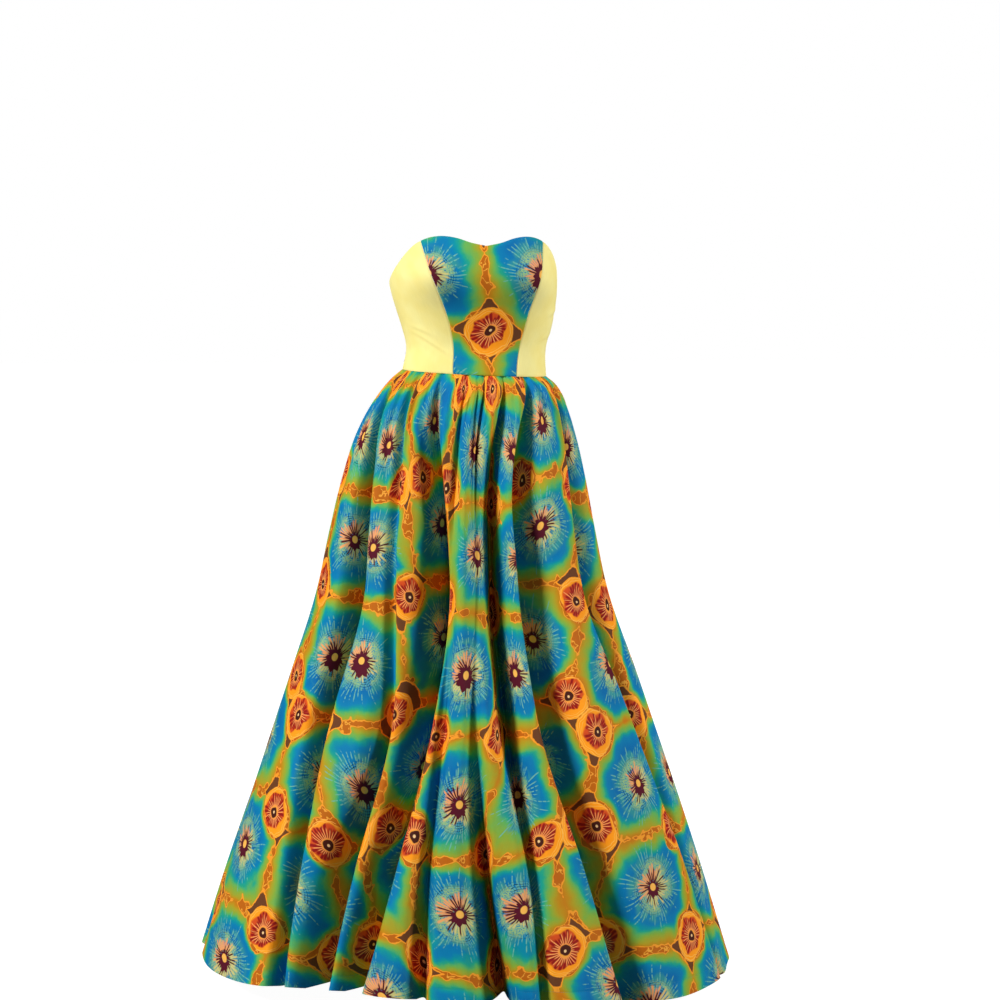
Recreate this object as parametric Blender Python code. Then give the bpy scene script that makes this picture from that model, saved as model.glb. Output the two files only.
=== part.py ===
"""A strapless ankara dress, standing in its worn form with no wearer.

The bodice has a printed centre front between two princess seams, plain yellow sides and a plain
yellow back with a zip. The skirt is three flared widths of print gathered into the waist seam.
Metres, +Z up. The front faces -Y, and the origin is the middle of the waist, at the seam.
Left and right in names are the wearer's: the wearer's left is at +X.
"""

from collections import namedtuple
from math import cos, pi, radians, sin

import bmesh
import bpy
import numpy as np

MM = 0.001

# Driving sizes
BODICE_CLOTH = 2.0 * MM
SKIRT_CLOTH = 1.5 * MM
SEAM_GAP = 0.3 * MM
SKIRT_LENGTH = 1.060
WAIST_TILT = 6 * MM
WAIST_DIP = 6 * MM
RIDGE_LIFT = 10 * MM

# The bodice's level sections, by height over the waist seam: half the width, how far the front
# and the back lie from the middle, and where the middle is. The waist measures 0.74 m round and
# the bust 0.88 m. The waist stands out to the wearer's left, over the straighter leg.
Section = namedtuple("Section", "height half_width front back middle_x")
BODICE = (
    Section(-0.020, 0.1340, 0.105, 0.097, 0.004),
    Section(0.000, 0.1320, 0.103, 0.095, 0.004),
    Section(0.045, 0.1285, 0.100, 0.093, 0.008),
    Section(0.080, 0.1375, 0.107, 0.097, 0.009),
    Section(0.110, 0.1450, 0.115, 0.101, 0.007),
    Section(0.140, 0.1510, 0.124, 0.103, 0.004),
    Section(0.170, 0.1540, 0.129, 0.103, 0.001),
    Section(0.210, 0.1530, 0.126, 0.103, 0.000),
    Section(0.250, 0.1510, 0.119, 0.103, 0.000),
)

# The two cups that the princess seams shape
CUP_RISE = 20 * MM
CUP_AZIMUTH = radians(37)
CUP_SPREAD = radians(25)
CUP_HEIGHT = 0.168
CUP_ABOVE = 0.060
CUP_BELOW = 0.042

# The top edge: its height over the waist, by azimuth from the centre front
EdgePoint = namedtuple("EdgePoint", "azimuth height")
TOP_EDGE = (
    EdgePoint(0, 0.2225),
    EdgePoint(10, 0.2280),
    EdgePoint(20, 0.2365),
    EdgePoint(31, 0.2400),
    EdgePoint(43, 0.2350),
    EdgePoint(51, 0.2265),
    EdgePoint(60, 0.2110),
    EdgePoint(71, 0.1900),
    EdgePoint(84, 0.1700),
    EdgePoint(100, 0.1560),
    EdgePoint(122, 0.1490),
    EdgePoint(150, 0.1460),
    EdgePoint(180, 0.1450),
)

# The princess seams: their azimuth, by share of the way from the waist to the top edge
SeamPoint = namedtuple("SeamPoint", "share azimuth")
PRINCESS_SEAM = (
    SeamPoint(0.00, 26.0),
    SeamPoint(0.20, 28.0),
    SeamPoint(0.40, 30.5),
    SeamPoint(0.60, 35.0),
    SeamPoint(0.80, 40.5),
    SeamPoint(1.00, 46.5),
)
SIDE_SEAM = 94.0
CENTRE_FRONT_STEPS = 12
SIDE_STEPS = 8
BACK_STEPS = 10
BODICE_STEPS = 10

# The skirt's outline through the ridges of its folds, by distance below the waist seam. Below
# the waist its middle lies towards the wearer's right, over the hip that is pushed out.
Flare = namedtuple("Flare", "drop half_width front back middle_x")
SKIRT = (
    Flare(0.000, 0.1330, 0.104, 0.096, 0.004),
    Flare(0.012, 0.1480, 0.114, 0.105, 0.004),
    Flare(0.030, 0.1630, 0.129, 0.120, 0.002),
    Flare(0.060, 0.1800, 0.144, 0.140, -0.003),
    Flare(0.110, 0.2010, 0.160, 0.165, -0.009),
    Flare(0.180, 0.2210, 0.178, 0.188, -0.013),
    Flare(0.280, 0.2440, 0.203, 0.212, -0.016),
    Flare(0.400, 0.2700, 0.231, 0.240, -0.016),
    Flare(0.540, 0.3170, 0.272, 0.282, -0.013),
    Flare(0.700, 0.3730, 0.320, 0.331, -0.012),
    Flare(0.880, 0.4330, 0.370, 0.382, -0.011),
    Flare(1.060, 0.4900, 0.414, 0.426, -0.010),
)

# The drops at which the skirt's wall has a row of points
SKIRT_ROWS = (
    0.000, 0.012, 0.030, 0.060, 0.110, 0.180, 0.280, 0.400,
    0.470, 0.540, 0.620, 0.700, 0.790, 0.880, 0.970, 1.060,
)

# How far below the waist the hem hangs, by azimuth from the centre front
HemPoint = namedtuple("HemPoint", "azimuth drop")
HEM = (
    HemPoint(-180, 1.060),
    HemPoint(-100, 1.060),
    HemPoint(-64, 1.064),
    HemPoint(-48, 1.050),
    HemPoint(-34, 1.045),
    HemPoint(-10, 1.060),
    HemPoint(20, 1.082),
    HemPoint(50, 1.104),
    HemPoint(76, 1.100),
    HemPoint(110, 1.080),
    HemPoint(180, 1.060),
)

# Every large fold's trough: its azimuth in degrees at six levels below the waist, its depth in
# millimetres at the same levels, then how far its bottom leans towards a higher azimuth, as a
# share of its depth. The rows run from the right side seam round the front.
LEVELS = (0.0, 0.15, 0.35, 0.60, 0.85, 1.06)
Trough = namedtuple(
    "Trough",
    "waist hip thigh knee shin hem waist_mm hip_mm thigh_mm knee_mm shin_mm hem_mm lean",
)
TROUGHS = (
    Trough(-100, -100, -100, -99, -97, -96, 4, 22, 36, 44, 50, 52, 0.1),
    Trough(-77, -66, -60, -60, -56, -53, 4, 39, 75, 69, 47, 41, -0.2),
    Trough(-55, -45, -40, -37, -43, -45, 4, 19, 17, 45, 88, 100, 0.12),
    Trough(-35, -28, -24, -27, -32, -36, 4, 47, 88, 94, 80, 75, 0.25),
    Trough(-15, -14, -15, -17, -20, -20, 4, 19, 14, 28, 36, 47, 0.1),
    Trough(-2, -5, -6, -8, -7, -4, 4, 17, 17, 22, 63, 91, 0.25),
    Trough(13, 5, 3, 3, 6, 6, 4, 44, 77, 69, 30, 28, 0.15),
    Trough(33, 23, 23, 20, 25, 29, 4, 50, 91, 88, 75, 83, -0.25),
    Trough(60, 58, 52, 56, 60, 62, 4, 41, 55, 36, 19, 14, -0.1),
    Trough(86, 86, 85, 84, 83, 83, 4, 25, 41, 55, 75, 86, 0.15),
    Trough(110, 110, 112, 114, 114, 112, 4, 36, 61, 69, 75, 80, -0.2),
    Trough(135, 136, 138, 136, 134, 136, 4, 28, 36, 50, 80, 94, 0.2),
    Trough(161, 160, 160, 161, 162, 160, 4, 25, 55, 75, 77, 69, -0.15),
    Trough(199, 200, 200, 199, 197, 198, 4, 25, 47, 63, 86, 97, 0.2),
    Trough(221, 220, 222, 222, 224, 226, 4, 30, 63, 69, 58, 52, -0.2),
    Trough(241, 241, 240, 241, 243, 245, 4, 25, 30, 52, 75, 86, 0.2),
)
FOLDS = len(TROUGHS)
FRONT_END = 9
BACK_SEAM = 12.5
TROUGH_WIDTH = 5 * MM
TROUGH_SPREAD = 0.23
TROUGH_POWER = 2.2

# The gathers that the waist seam holds: three to each large fold, gone before the knee
GATHERS_PER_FOLD = 3
GATHER_SEAM = 2.2 * MM
GATHER_DEEPEST = 7.5 * MM
GATHER_DEEPEST_AT = 0.045
GATHER_END = 0.36
STEPS_PER_GATHER = 4
FOLD_STEPS = GATHERS_PER_FOLD * STEPS_PER_GATHER

# The zip down the centre back, in a slot between the two back pieces
ZIP_SLOT_HALF = 3.0 * MM
ZIP_SKIRT_END = 0.110
ZIP_SEAM_FROM = 0.180
TAPE_HALF = 12 * MM
TAPE_CLOTH = 1.0 * MM
TAPE_BELOW_EDGE = 3 * MM
TAPE_STEPS = 4
TAPE_GAP = 0.5 * MM
SLIDER_BELOW_EDGE = 11 * MM
SLIDER_WIDTH = 4.6 * MM
SLIDER_DEPTH = 2.6 * MM
SLIDER_LENGTH = 9.0 * MM
BRIDGE_WIDTH = 1.4 * MM
BRIDGE_WALL = 1.3 * MM
EYE_HOLE_HALF = 1.7 * MM
EYE_HOLE_RISE = 2.3 * MM
PULL_THICKNESS = 1.0 * MM
PULL_WINDOW_HALF = 1.15 * MM
PULL_WINDOW_LENGTH = 4.4 * MM
PULL_EYE_HALF = 2.5 * MM
PULL_LENGTH = 24 * MM
PULL_HALF_WIDTH = 3.4 * MM
PULL_CLEARANCE = 1.15 * MM

# Colours, linear
PRINT_BLUE = (0.010, 0.175, 0.430)
PLAIN_YELLOW = (0.880, 0.740, 0.240)
TAPE_YELLOW = (0.780, 0.640, 0.200)
ZIP_ENAMEL = (0.820, 0.700, 0.260)


def smooth_curve(places, values, at):
    """The values at any places of a smooth curve through the given ones."""
    places, values = np.array(places, float), np.array(values, float)
    at = np.clip(np.asarray(at, float), places[0], places[-1])
    slopes = np.gradient(values, places)
    i = np.clip(np.searchsorted(places, at) - 1, 0, len(places) - 2)
    step = places[i + 1] - places[i]
    u = (at - places[i]) / step
    rise = values[i + 1] - values[i]
    return (
        values[i]
        + rise * u * u * (3 - 2 * u)
        + step * u * (1 - u) * (slopes[i] * (1 - u) - slopes[i + 1] * u)
    )


def section_at(sections, place):
    """An outline's sizes, in its table's order, at a height or a distance down."""
    rows = np.array(sections)
    return [smooth_curve(rows[:, 0], rows[:, k], place) for k in range(1, rows.shape[1])]


def ease(u):
    """0 to 1 with a soft start and end."""
    u = np.clip(u, 0, 1)
    return u * u * (3 - 2 * u)


def oval_point(half_width, front, back, azimuth):
    """(x, y) on a rounded outline. Azimuth runs from the centre front towards +X."""
    depth = np.where(np.cos(azimuth) > 0, front, back)
    return half_width * np.sin(azimuth), -depth * np.cos(azimuth)


def waist_height(azimuth):
    """The waist seam dips in front and rises towards the wearer's right."""
    return -WAIST_TILT * np.sin(azimuth) - WAIST_DIP * (1 + np.cos(azimuth)) / 2


def wall_normals(points, closed):
    """The outward unit normal at each point of a grid whose rows run down and columns run round."""
    down = np.gradient(points, axis=0)
    if closed:
        along = np.roll(points, -1, axis=1) - np.roll(points, 1, axis=1)
    else:
        along = np.gradient(points, axis=1)
    normals = np.cross(down, along)
    return normals / np.linalg.norm(normals, axis=2, keepdims=True)


def pulled_in(points, at_start, at_end):
    """The grid with its first and last columns moved towards their neighbours by those widths."""
    moved = points.copy()
    for end, neighbour, width in ((0, 1, at_start), (-1, -2, at_end)):
        towards = points[:, neighbour] - points[:, end]
        towards = towards / np.linalg.norm(towards, axis=1, keepdims=True)
        moved[:, end] += towards * np.reshape(width, (-1, 1))
    return moved


def new_object(name, mesh, material):
    """An object of this name in the scene, with its material."""
    part = bpy.data.objects.new(name, mesh)
    bpy.context.scene.collection.objects.link(part)
    part.data.materials.append(material)
    mesh.shade_smooth()
    mesh.set_sharp_from_angle(angle=radians(50))
    return part


def wall_object(name, outer, inner, material):
    """One closed piece of cloth between an outer and an inner grid of points."""
    rows, columns = outer.shape[:2]
    form = bmesh.new()
    skins = []
    for grid in (outer, inner):
        skins.append([[form.verts.new(p) for p in row] for row in grid])
    out, back = skins
    for r in range(rows - 1):
        for c in range(columns - 1):
            form.faces.new((out[r][c], out[r + 1][c], out[r + 1][c + 1], out[r][c + 1]))
            form.faces.new((back[r][c], back[r][c + 1], back[r + 1][c + 1], back[r + 1][c]))
    for c in range(columns - 1):
        form.faces.new((out[0][c], out[0][c + 1], back[0][c + 1], back[0][c]))
        form.faces.new((out[-1][c], back[-1][c], back[-1][c + 1], out[-1][c + 1]))
    for r in range(rows - 1):
        form.faces.new((out[r][0], back[r][0], back[r + 1][0], out[r + 1][0]))
        form.faces.new((out[r][-1], out[r + 1][-1], back[r + 1][-1], back[r][-1]))
    mesh = bpy.data.meshes.new(name)
    form.to_mesh(mesh)
    form.free()
    return new_object(name, mesh, material)


def plain_material(name, colour, roughness):
    """A material with one colour."""
    made = bpy.data.materials.new(name)
    made.use_nodes = True
    surface = made.node_tree.nodes["Principled BSDF"]
    surface.inputs["Base Color"].default_value = (*colour, 1)
    surface.inputs["Roughness"].default_value = roughness
    surface.inputs["Metallic"].default_value = 0
    return made


# The bodice

def bodice_surface(azimuth, height):
    """The bodice's outer surface, with the fullness of the two cups."""
    half_width, front, back, middle_x = section_at(BODICE, height)
    x, y = oval_point(half_width, front, back, azimuth)
    x = x + middle_x
    reach = np.where(height > CUP_HEIGHT, CUP_ABOVE, CUP_BELOW)
    level = np.exp(-(((height - CUP_HEIGHT) / reach) ** 2))
    across = sum(
        np.exp(-(((azimuth - side * CUP_AZIMUTH) / CUP_SPREAD) ** 2)) for side in (-1, 1)
    )
    rise = CUP_RISE * level * across
    return np.stack([x + rise * 0.35 * np.sin(azimuth), y - rise, height + 0 * x], axis=-1)


def bodice_columns(share):
    """The azimuths round one row of the bodice, from the centre back round the front."""
    seams = np.array(PRINCESS_SEAM)
    princess = float(smooth_curve(seams[:, 0], seams[:, 1], share))
    stops = (-180, -SIDE_SEAM, -princess, princess, SIDE_SEAM, 180)
    steps = (BACK_STEPS, SIDE_STEPS, CENTRE_FRONT_STEPS, SIDE_STEPS, BACK_STEPS)
    row = [
        np.linspace(a, b, n, endpoint=False) for a, b, n in zip(stops, stops[1:], steps)
    ]
    return np.radians(np.concatenate(row + [[180]]))


def bodice_grids():
    """The outer and inner points of the whole bodice, rows from the top edge down."""
    edge = np.array(TOP_EDGE)
    rows = []
    for share in np.linspace(1, 0, BODICE_STEPS):
        azimuth = bodice_columns(share)
        top = smooth_curve(edge[:, 0], edge[:, 1], np.degrees(np.abs(azimuth)))
        low = waist_height(azimuth) + SEAM_GAP / 2
        rows.append(bodice_surface(azimuth, low + share * (top - low)))
    outer = np.array(rows)
    ring = outer[:, :-1]
    normals = wall_normals(ring, closed=True)
    normals = np.concatenate([normals, normals[:, :1]], axis=1)
    inner = outer - normals * BODICE_CLOTH
    inner[-1, :, 2] = outer[-1, :, 2]
    return outer, inner


def make_bodice(print_cloth, plain_cloth):
    """The centre front, the two sides and the two back pieces. Returns the outer grid."""
    outer, inner = bodice_grids()
    seam = SEAM_GAP / 2
    at = np.cumsum([0, BACK_STEPS, SIDE_STEPS, CENTRE_FRONT_STEPS, SIDE_STEPS, BACK_STEPS])
    pieces = (
        ("bodice_back_right", plain_cloth, ZIP_SLOT_HALF, seam),
        ("bodice_side_right", plain_cloth, seam, seam),
        ("bodice_centre_front", print_cloth, seam, seam),
        ("bodice_side_left", plain_cloth, seam, seam),
        ("bodice_back_left", plain_cloth, seam, ZIP_SLOT_HALF),
    )
    for (name, cloth, start, end), a, b in zip(pieces, at, at[1:]):
        span = slice(a, b + 1)
        wall_object(
            name,
            pulled_in(outer[:, span], start, end),
            pulled_in(inner[:, span], start, end),
            cloth,
        )
    return outer


# The skirt

def troughs_at(drop):
    """Every trough's azimuth and depth at a distance down, with one row more for the way round."""
    table = np.array(TROUGHS, float)
    count = len(LEVELS)
    azimuths = [float(smooth_curve(LEVELS, row[:count], drop)) for row in table]
    depths = [float(smooth_curve(LEVELS, row[count : 2 * count], drop)) * MM for row in table]
    return np.radians(azimuths + [azimuths[0] + 360]), np.array(depths)


def gather_depth(drop):
    """How deep the waist's gathers are at a distance down."""
    if drop < GATHER_DEEPEST_AT:
        return GATHER_SEAM + (GATHER_DEEPEST - GATHER_SEAM) * ease(drop / GATHER_DEEPEST_AT)
    return GATHER_DEEPEST * (1 - ease((drop - GATHER_DEEPEST_AT) / (GATHER_END - GATHER_DEEPEST_AT)))


def skirt_row(folds, drop):
    """The points of the skirt's outer surface at a distance below the waist seam. Folds count
    the large folds round the skirt, with a trough at each whole number."""
    azimuths, depths = troughs_at(drop)
    index = np.floor(folds).astype(int)
    share = folds - index
    crowding = 0.62 * ease(drop / 0.30)
    share_round = share - crowding * np.sin(2 * pi * share) / (2 * pi)
    azimuth = azimuths[index] + (azimuths[index + 1] - azimuths[index]) * share_round
    half_width, front, back, middle_x = section_at(SKIRT, drop)
    x, y = oval_point(half_width, front, back, azimuth)
    radius = np.hypot(x, y)
    inset = np.zeros_like(folds)
    aside = np.zeros_like(folds)
    for middle, depth, trough in zip(azimuths, depths, TROUGHS):
        apart = (azimuth - middle + pi) % (2 * pi) - pi
        width = TROUGH_WIDTH + TROUGH_SPREAD * depth
        dip = depth * np.exp(-((np.abs(apart) * radius / width) ** TROUGH_POWER))
        inset += dip
        aside += dip * trough.lean
    from_zip = np.abs(folds - BACK_SEAM)
    wave = (1 + np.cos(2 * pi * GATHERS_PER_FOLD * share)) / 2
    uneven = 0.75 + 0.35 * np.sin(folds * 4.1 + 0.7) * np.sin(folds * 1.7)
    gather = gather_depth(drop) * wave * uneven * ease((from_zip - 0.22) / 0.14)
    depth_way = np.where(np.cos(azimuth) > 0, front, back)
    inward = np.stack([-np.sin(azimuth) / half_width, np.cos(azimuth) / depth_way])
    inward /= np.linalg.norm(inward, axis=0)
    along = np.stack([inward[1], -inward[0]])
    x, y = np.stack([x, y]) + inward * (inset + gather) + along * aside
    down = drop / SKIRT_LENGTH
    hem = np.array(HEM)
    turned = (np.degrees(azimuth) + 180) % 360 - 180
    longer = smooth_curve(hem[:, 0], hem[:, 1], turned) - SKIRT_LENGTH
    lift = RIDGE_LIFT * (1 - np.clip(inset / (40 * MM), 0, 1))
    waist = (waist_height(azimuth) - SEAM_GAP / 2) * (1 - down)
    height = waist - drop + (lift - longer) * down**2
    return np.stack([x + middle_x, y, height], axis=1)


def skirt_grids():
    """The outer and inner points of the whole skirt, rows from the waist down."""
    folds = np.linspace(0, FOLDS, FOLDS * FOLD_STEPS, endpoint=False)
    outer = np.array([skirt_row(folds, drop) for drop in SKIRT_ROWS])
    inner = outer - wall_normals(outer, closed=True) * SKIRT_CLOTH
    inner[0, :, 2] = outer[0, :, 2]
    return outer, inner


def make_skirt(print_cloth):
    """The front width and the two back widths, with the slot for the zip. Returns the outer
    grid."""
    outer, inner = skirt_grids()
    drops = np.array(SKIRT_ROWS)
    seam = SEAM_GAP / 2
    slot_share = 1 - ease((drops - ZIP_SKIRT_END) / (ZIP_SEAM_FROM - ZIP_SKIRT_END))
    slot = seam + (ZIP_SLOT_HALF - seam) * slot_share
    pieces = (
        ("skirt_front", 0, FRONT_END, seam, seam),
        ("skirt_back_left", FRONT_END, BACK_SEAM, seam, slot),
        ("skirt_back_right", BACK_SEAM, FOLDS, slot, seam),
    )
    for name, first, last, start, end in pieces:
        columns = np.arange(round(first * FOLD_STEPS), round(last * FOLD_STEPS) + 1)
        columns %= outer.shape[1]
        wall_object(
            name,
            pulled_in(outer[:, columns], start, end),
            pulled_in(inner[:, columns], start, end),
            print_cloth,
        )
    return outer


# The zip

def back_rows(ring, centre):
    """A ring's rows near the centre back, at even distances across the zip's tape."""
    near = np.roll(ring, 6 - centre, axis=1)[:, :13]
    across = np.linspace(-TAPE_HALF, TAPE_HALF, TAPE_STEPS + 1)
    rows = []
    for row in near:
        reach = np.concatenate([[0], np.cumsum(np.linalg.norm(np.diff(row, axis=0), axis=1))])
        reach -= reach[6]
        rows.append(np.stack([np.interp(across, reach, row[:, k]) for k in range(3)], axis=1))
    return np.array(rows)


def make_zip_tape(bodice, skirt, tape_cloth):
    """The zip's woven tape, sewn behind the two back pieces from the top edge into the skirt.
    Returns the outer face's middle line."""
    skirt_rows = [i for i, drop in enumerate(SKIRT_ROWS) if 0 < drop <= ZIP_SKIRT_END]
    surface = np.concatenate([
        back_rows(bodice[:, :-1], 0),
        back_rows(skirt[skirt_rows], round(BACK_SEAM * FOLD_STEPS)),
    ])
    surface[0, :, 2] -= TAPE_BELOW_EDGE
    normals = wall_normals(surface, closed=False)
    outer = surface - normals * (BODICE_CLOTH + TAPE_GAP)
    wall_object("zip_tape", outer, outer - normals * TAPE_CLOTH, tape_cloth)
    return outer[:, TAPE_STEPS // 2]


def plate(name, rings, thickness, along_x, place, material):
    """A plate from its closed outline and, after it, any holes in it. Its thickness runs along X
    with rings of (y, height) points, or else along Y with rings of (x, height) points."""
    form = bmesh.new()
    sides = []
    for side in (-thickness / 2, thickness / 2):
        loops = []
        for ring in rings:
            corners = [(side, a, z) if along_x else (a, side, z) for a, z in ring]
            loops.append([form.verts.new(corner) for corner in corners])
        edges = [form.edges.new(pair) for loop in loops for pair in zip(loop, loop[1:] + loop[:1])]
        bmesh.ops.triangle_fill(form, edges=edges)
        sides.append(loops)
    for near, far in zip(*sides):
        for i in range(len(near)):
            j = (i + 1) % len(near)
            form.faces.new((near[i], near[j], far[j], far[i]))
    bmesh.ops.recalc_face_normals(form, faces=form.faces)
    mesh = bpy.data.meshes.new(name)
    form.to_mesh(mesh)
    form.free()
    part = new_object(name, mesh, material)
    part.location = place
    return part


def make_slider(enamel, place):
    """The slider: a small body over the tape, with a bridge that the pull hangs from."""
    half, half_length, chamfer = SLIDER_WIDTH / 2, SLIDER_LENGTH / 2, 0.8 * MM
    plan = (
        (-half, -half_length + chamfer),
        (-half + chamfer, -half_length),
        (half - chamfer, -half_length),
        (half, -half_length + chamfer),
        (half, half_length - chamfer),
        (half - chamfer, half_length),
        (-half + chamfer, half_length),
        (-half, half_length - chamfer),
    )
    x, y, z = place
    body_place = (x, y + SLIDER_DEPTH / 2, z)
    slider = plate("zip_slider", (plan,), SLIDER_DEPTH, False, body_place, enamel)
    foot = SLIDER_DEPTH - 1.0 * MM
    under = SLIDER_DEPTH + EYE_HOLE_RISE
    top = under + BRIDGE_WALL
    reach = EYE_HOLE_HALF + BRIDGE_WALL
    arch = (
        (foot, -reach),
        (top - chamfer, -reach),
        (top, -reach + chamfer),
        (top, reach - chamfer),
        (top - chamfer, reach),
        (foot, reach),
        (foot, EYE_HOLE_HALF),
        (under, EYE_HOLE_HALF),
        (under, -EYE_HOLE_HALF),
        (foot, -EYE_HOLE_HALF),
    )
    bridge = plate("slider_bridge", (arch,), BRIDGE_WIDTH, True, place, enamel)
    bridge.hide_render = True
    bridge.display_type = "WIRE"
    join = slider.modifiers.new("bridge", "BOOLEAN")
    join.operation = "UNION"
    join.solver = "EXACT"
    join.use_self = True
    join.object = bridge


def make_pull(enamel, pivot):
    """The pull: a flat drop stamped from metal, with a window at its top that leaves a bar
    under the slider's bridge."""
    bar = PULL_THICKNESS / 2
    shoulder = -PULL_WINDOW_LENGTH - 2.2 * MM
    middle = -PULL_LENGTH + PULL_HALF_WIDTH
    turns = [pi * k / 10 for k in range(11)]
    outline = [(PULL_HALF_WIDTH * cos(t), middle - PULL_HALF_WIDTH * sin(t)) for t in turns]
    outline += [
        (-PULL_EYE_HALF, shoulder),
        (-PULL_EYE_HALF, 0),
        (-PULL_EYE_HALF + bar, bar),
        (PULL_EYE_HALF - bar, bar),
        (PULL_EYE_HALF, 0),
        (PULL_EYE_HALF, shoulder),
    ]
    window = [
        (-PULL_WINDOW_HALF, -bar),
        (-PULL_WINDOW_HALF, -PULL_WINDOW_LENGTH),
        (PULL_WINDOW_HALF, -PULL_WINDOW_LENGTH),
        (PULL_WINDOW_HALF, -bar),
    ]
    plate("zip_pull", (outline, window), PULL_THICKNESS, False, pivot, enamel)


def make_zip(bodice, skirt, tape_cloth, enamel):
    """The tape, the slider at the top of it and the pull that hangs from the slider."""
    middle = make_zip_tape(bodice, skirt, tape_cloth)
    height = TOP_EDGE[-1].height - SLIDER_BELOW_EDGE
    line = middle[np.argsort(middle[:, 2])]
    across, depth = (float(np.interp(height, line[:, 2], line[:, k])) for k in (0, 1))
    seat = depth + SEAM_GAP
    make_slider(enamel, (across, seat, height))
    make_pull(enamel, (across, seat + SLIDER_DEPTH + PULL_CLEARANCE, height))


def main():
    for thing in list(bpy.data.objects):
        bpy.data.objects.remove(thing, do_unlink=True)
    print_cloth = plain_material("wax_print_cotton", PRINT_BLUE, 0.6)
    plain_cloth = plain_material("yellow_cotton", PLAIN_YELLOW, 0.65)
    tape_cloth = plain_material("zip_tape_weave", TAPE_YELLOW, 0.8)
    enamel = plain_material("zip_enamel", ZIP_ENAMEL, 0.35)
    bodice = make_bodice(print_cloth, plain_cloth)
    skirt = make_skirt(print_cloth)
    make_zip(bodice, skirt, tape_cloth, enamel)


main()
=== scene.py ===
"""The looks of a strapless wax print dress that stands in its worn form.

The sections follow the dress as it is sewn together: the printed centre front of the bodice, the
plain sides and backs, the three widths of the skirt, the stitching, the zip, and then the floor,
the lights and the camera. Metres, +Z up, the front faces -Y, and azimuths run from the centre
front towards +X, the dress's own left. The origin is the middle of the waist.
"""

from collections import namedtuple
from math import cos, pi, radians, sin

import bpy
import numpy as np
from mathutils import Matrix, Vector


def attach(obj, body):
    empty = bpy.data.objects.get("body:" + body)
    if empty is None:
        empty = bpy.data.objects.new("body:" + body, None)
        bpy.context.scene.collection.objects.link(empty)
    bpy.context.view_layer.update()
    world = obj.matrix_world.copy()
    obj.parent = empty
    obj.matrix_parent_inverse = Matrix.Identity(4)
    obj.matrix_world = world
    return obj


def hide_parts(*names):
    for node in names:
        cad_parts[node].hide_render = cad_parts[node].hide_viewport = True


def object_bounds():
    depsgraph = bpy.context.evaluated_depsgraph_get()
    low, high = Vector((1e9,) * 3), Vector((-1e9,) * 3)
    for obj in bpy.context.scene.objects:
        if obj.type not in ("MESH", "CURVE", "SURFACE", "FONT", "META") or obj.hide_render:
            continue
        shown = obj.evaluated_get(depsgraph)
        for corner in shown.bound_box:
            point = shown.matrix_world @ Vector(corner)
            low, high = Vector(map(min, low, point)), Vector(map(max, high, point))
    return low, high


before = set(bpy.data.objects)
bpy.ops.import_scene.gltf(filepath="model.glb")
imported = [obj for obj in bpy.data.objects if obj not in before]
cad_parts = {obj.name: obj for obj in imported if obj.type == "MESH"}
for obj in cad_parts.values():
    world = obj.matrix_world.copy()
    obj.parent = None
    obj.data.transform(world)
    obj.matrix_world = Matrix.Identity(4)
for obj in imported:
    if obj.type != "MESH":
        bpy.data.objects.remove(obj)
cad_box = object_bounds()
MM = 0.001


# The printed centre front of the bodice
#
# One piece of wax print cotton between two princess seams, cut so that one orange bloom sits
# under the bust. It is fitted over the cups and sewn to the skirt at the waist.

CLOTH = 0.8 * MM
CUT_EDGE = radians(60)
SEAM_GAP = 0.3 * MM
ZIP_SLOT_HALF = 3.0 * MM
WAIST_TILT = 6 * MM
WAIST_DIP = 6 * MM

# Level sections: the height over the waist seam, half the width, how far the front and the back
# lie from the middle, and where the middle is
BODICE = (
    (-0.020, 0.1340, 0.105, 0.097, 0.004),
    (0.000, 0.1320, 0.103, 0.095, 0.004),
    (0.045, 0.1285, 0.100, 0.093, 0.008),
    (0.080, 0.1375, 0.107, 0.097, 0.009),
    (0.110, 0.1450, 0.115, 0.101, 0.007),
    (0.140, 0.1510, 0.124, 0.103, 0.004),
    (0.170, 0.1540, 0.129, 0.103, 0.001),
    (0.210, 0.1530, 0.126, 0.103, 0.000),
    (0.250, 0.1510, 0.119, 0.103, 0.000),
)
CUP_RISE = 20 * MM
CUP_AZIMUTH = radians(37)
CUP_SPREAD = radians(25)
CUP_HEIGHT = 0.168
CUP_ABOVE = 0.060
CUP_BELOW = 0.042
CUP_SIDEWAYS = 0.35

# The top edge's height over the waist, by azimuth in degrees
TOP_EDGE = (
    (0, 0.2225),
    (10, 0.2280),
    (20, 0.2365),
    (31, 0.2400),
    (43, 0.2350),
    (51, 0.2265),
    (60, 0.2110),
    (71, 0.1900),
    (84, 0.1700),
    (100, 0.1560),
    (122, 0.1490),
    (150, 0.1460),
    (180, 0.1450),
)

# The princess seams' azimuth, by share of the way from the waist to the top edge
PRINCESS_SEAM = (
    (0.00, 26.0),
    (0.20, 28.0),
    (0.40, 30.5),
    (0.60, 35.0),
    (0.80, 40.5),
    (1.00, 46.5),
)
SIDE_SEAM = 94.0
BODICE_ROWS = 110
CENTRE_FRONT_COLUMNS = 120
SIDE_COLUMNS = 90
BACK_COLUMNS = 90

# How the sewing shows: the cloth turns in at each seam, and puckers along it
SEAM_TURN = 0.9 * MM
SEAM_TURN_WIDTH = 2.2 * MM
PUCKER = 0.35 * MM
PUCKER_PITCH = 9 * MM
PUCKER_REACH = 9 * MM


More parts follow.
